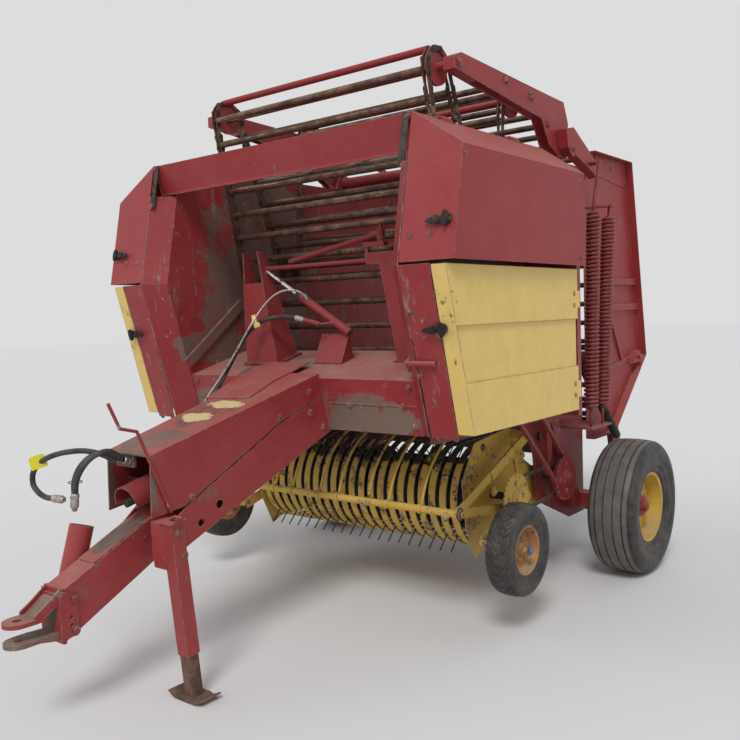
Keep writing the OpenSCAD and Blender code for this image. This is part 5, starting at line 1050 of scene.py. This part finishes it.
def build_pickup_details():
    """Dark core tube of the reel, collars of the windguard rods, the toothed discs of the reel's drive with
    their hubs and bolts, and the rusty nuts. A tooth rises and falls over four points of a disc's rim."""
    # Painted shade: a dark tube of 0.172 m radius, wider than a shaft, fills the reel's shaded inside and hides
    # the floor behind the bands
    core = [[0, 0], [0, 0.168], [0.004, 0.172], [1.376, 0.172], [1.380, 0.168], [1.380, 0]]
    piece("reel_shade_core", lathe([-0.690, *REEL_AXIS], [1, 0, 0], core, 48), "reel",
          "black_iron", 40)
    rods = 8
    band = np.round(1 + 18 * np.arange(rods) / (rods - 1))
    x = -0.700 + 0.021 + band * (1.4 - 0.042) / 20
    places = np.stack([x - 0.012, np.full(rods, -0.310), np.full(rods, 0.600)], -1)
    collars = lathe(places, [1, 0, 0], [[0, 0.0185], [0.001, 0.0235], [0.023, 0.0235], [0.024, 0.0185]], 18)
    piece("guard_collars", collars, "pickup", "pickup_paint", 40)
    teeth, tooth_height, root_depth = 28, 0.011, 0.002
    discs = [("drive_teeth", (0.9252, *DRIVE_AXIS), 0.120, "frame", "deep_red"),
             ("reel_teeth", (0.8855, *REEL_AXIS), 0.126, "reel", "pickup_paint")]
    for name, centre, radius, body, look in discs:
        k = np.arange(teeth * 4)
        reach = radius + tooth_height * np.isin(k % 4, (1, 2)) - root_depth * (k % 4 == 0)
        angle = k * 2 * math.pi / len(k)
        rim = np.stack([reach * np.cos(angle), reach * np.sin(angle)], -1)
        shells = [slab(rim, 0.004, centre, (0, 1, 0), (0, 0, 1))]
        hub = [[0.003, 0], [0.003, 0.044], [0.012, 0.040], [0.016, 0.026], [0.026, 0.024], [0.028, 0.018],
               [0.028, 0]]
        shells += lathe(centre, [1, 0, 0], hub, 24)
        seats = ring_of(centre[0] + 0.004, centre[1:], 0.075, np.arange(4) * math.pi / 2)
        piece(name, shells + bolts(seats, [1, 0, 0], 0.020), body, look, 40)
    nuts = bolts([[0.8435, -0.310, 0.600]], [1, 0, 0], 0.040)
    nuts += bolts([[0.8335, -0.065, 0.889]], [1, 0, 0], 0.026)
    piece("guard_nuts", both(nuts), "pickup", "rusty_nut", 30)


def build_latches():
    """Latches of the covers and doors, and the short tube on the left front face. A lean is how far a front
    slopes back over its height: the covers' do, and the doors' slope forward."""
    cover_lean, door_lean = 130 / 660, -200 / 760
    for side, sign in (("left", 1), ("right", -1)):
        upper = latches(np.array([sign * 1.120, -0.7780, 1.955]), [0, -1, cover_lean], 0.05 * sign, -sign)
        piece("cover_latch_" + side, upper, "upper_cover_" + side, "black_iron", 40)
        lower = latches(np.array([sign * 1.062, -0.7425, 1.508]), [0, -1, door_lean], 0.05 * sign, -sign)
        piece("door_latch_" + side, lower, "lower_door_" + side, "black_iron", 40)
    stub = [[0, 0.009], [0, 0.0125], [0.136, 0.0125], [0.137, 0.0115], [0.137, 0.009], [0.120, 0.009],
            [0.120, 0]]
    piece("pin_holder", lathe([0.862, -0.7115, 1.356], [1, 0, 0], stub, 16), "frame",
          "red_paint", 40)


class BalerOperator(bpy.types.Operator):
    """A step that builds one group of pieces."""

    bl_idname = "baler.step"
    bl_label = "Baler step"
    bl_options = {"REGISTER", "UNDO"}
    job = None

    def execute(self, context):
        type(self).job()
        return {"FINISHED"}


def operator(name, label, text, work):
    """An operator class that runs one build function."""
    return type("BALER_OT_" + name, (BalerOperator,), {"bl_idname": "baler." + name, "bl_label": label,
                                                       "__doc__": text, "job": staticmethod(work)})


STEPS = [
    operator("stage", "Stage and camera", "Adds the pale floor, the soft lamps, the sky and the camera",
             build_stage),
    operator("finishes", "Finishes", "Makes the finishes and puts them on the CAD nodes", build_finishes),
    operator("cords", "Hoses", "Makes the hoses with their couplers", build_cords),
    operator("hose_fittings", "Hose fittings", "Adds sleeves, ties and the blank tag", build_hose_fittings),
    operator("springs", "Apron springs", "Winds the four apron springs", build_springs),
    operator("chains", "Apron chains", "Lays the links of the apron chains", build_chains),
    operator("twine_gear", "Twine gear and seams", "Adds the lines of the twine gear, seams and straps",
             build_twine_gear),
    # The reel core is a dark tube of painted shade inside the reel
    operator("pickup_details", "Pickup details", "Adds the reel core, collars and nuts",
             build_pickup_details),
    operator("wheels", "Wheels", "Makes the tyres, gauge rims, nuts and hub caps", build_wheels),
    operator("latches", "Latches", "Sets the latches of covers and doors", build_latches),
    operator("fasteners", "Fasteners", "Sets the bolt heads", build_fasteners),
]


class BALER_PT_panel(bpy.types.Panel):
    """Lists the baler's sizes, colours and steps."""

    bl_label = "Round Baler"
    bl_idname = "BALER_PT_panel"
    bl_space_type = "VIEW_3D"
    bl_region_type = "UI"
    bl_category = "Baler"

    def draw(self, context):
        layout = self.layout
        for owner in (context.scene.baler_colours, context.scene.baler_sizes):
            box = layout.box()
            for key in owner.__annotations__:
                box.prop(owner, key)
        for step in STEPS:
            layout.operator(step.bl_idname, text=step.bl_label)


CLASSES = [BalerColours, BalerSizes, *STEPS, BALER_PT_panel]


def register():
    """Adds the classes and the settings to Blender."""
    for cls in CLASSES:
        bpy.utils.register_class(cls)
    bpy.types.Scene.baler_colours = PointerProperty(type=BalerColours)
    bpy.types.Scene.baler_sizes = PointerProperty(type=BalerSizes)


def unregister():
    """Takes the classes and the settings out of Blender."""
    del bpy.types.Scene.baler_sizes
    del bpy.types.Scene.baler_colours
    for cls in reversed(CLASSES):
        bpy.utils.unregister_class(cls)


def main():
    """Registers the add-on, builds everything in order and writes the two boxes."""
    register()
    for step in STEPS:
        getattr(bpy.ops.baler, step.bl_idname.split(".")[1])()


if __name__ == "__main__":
    main()
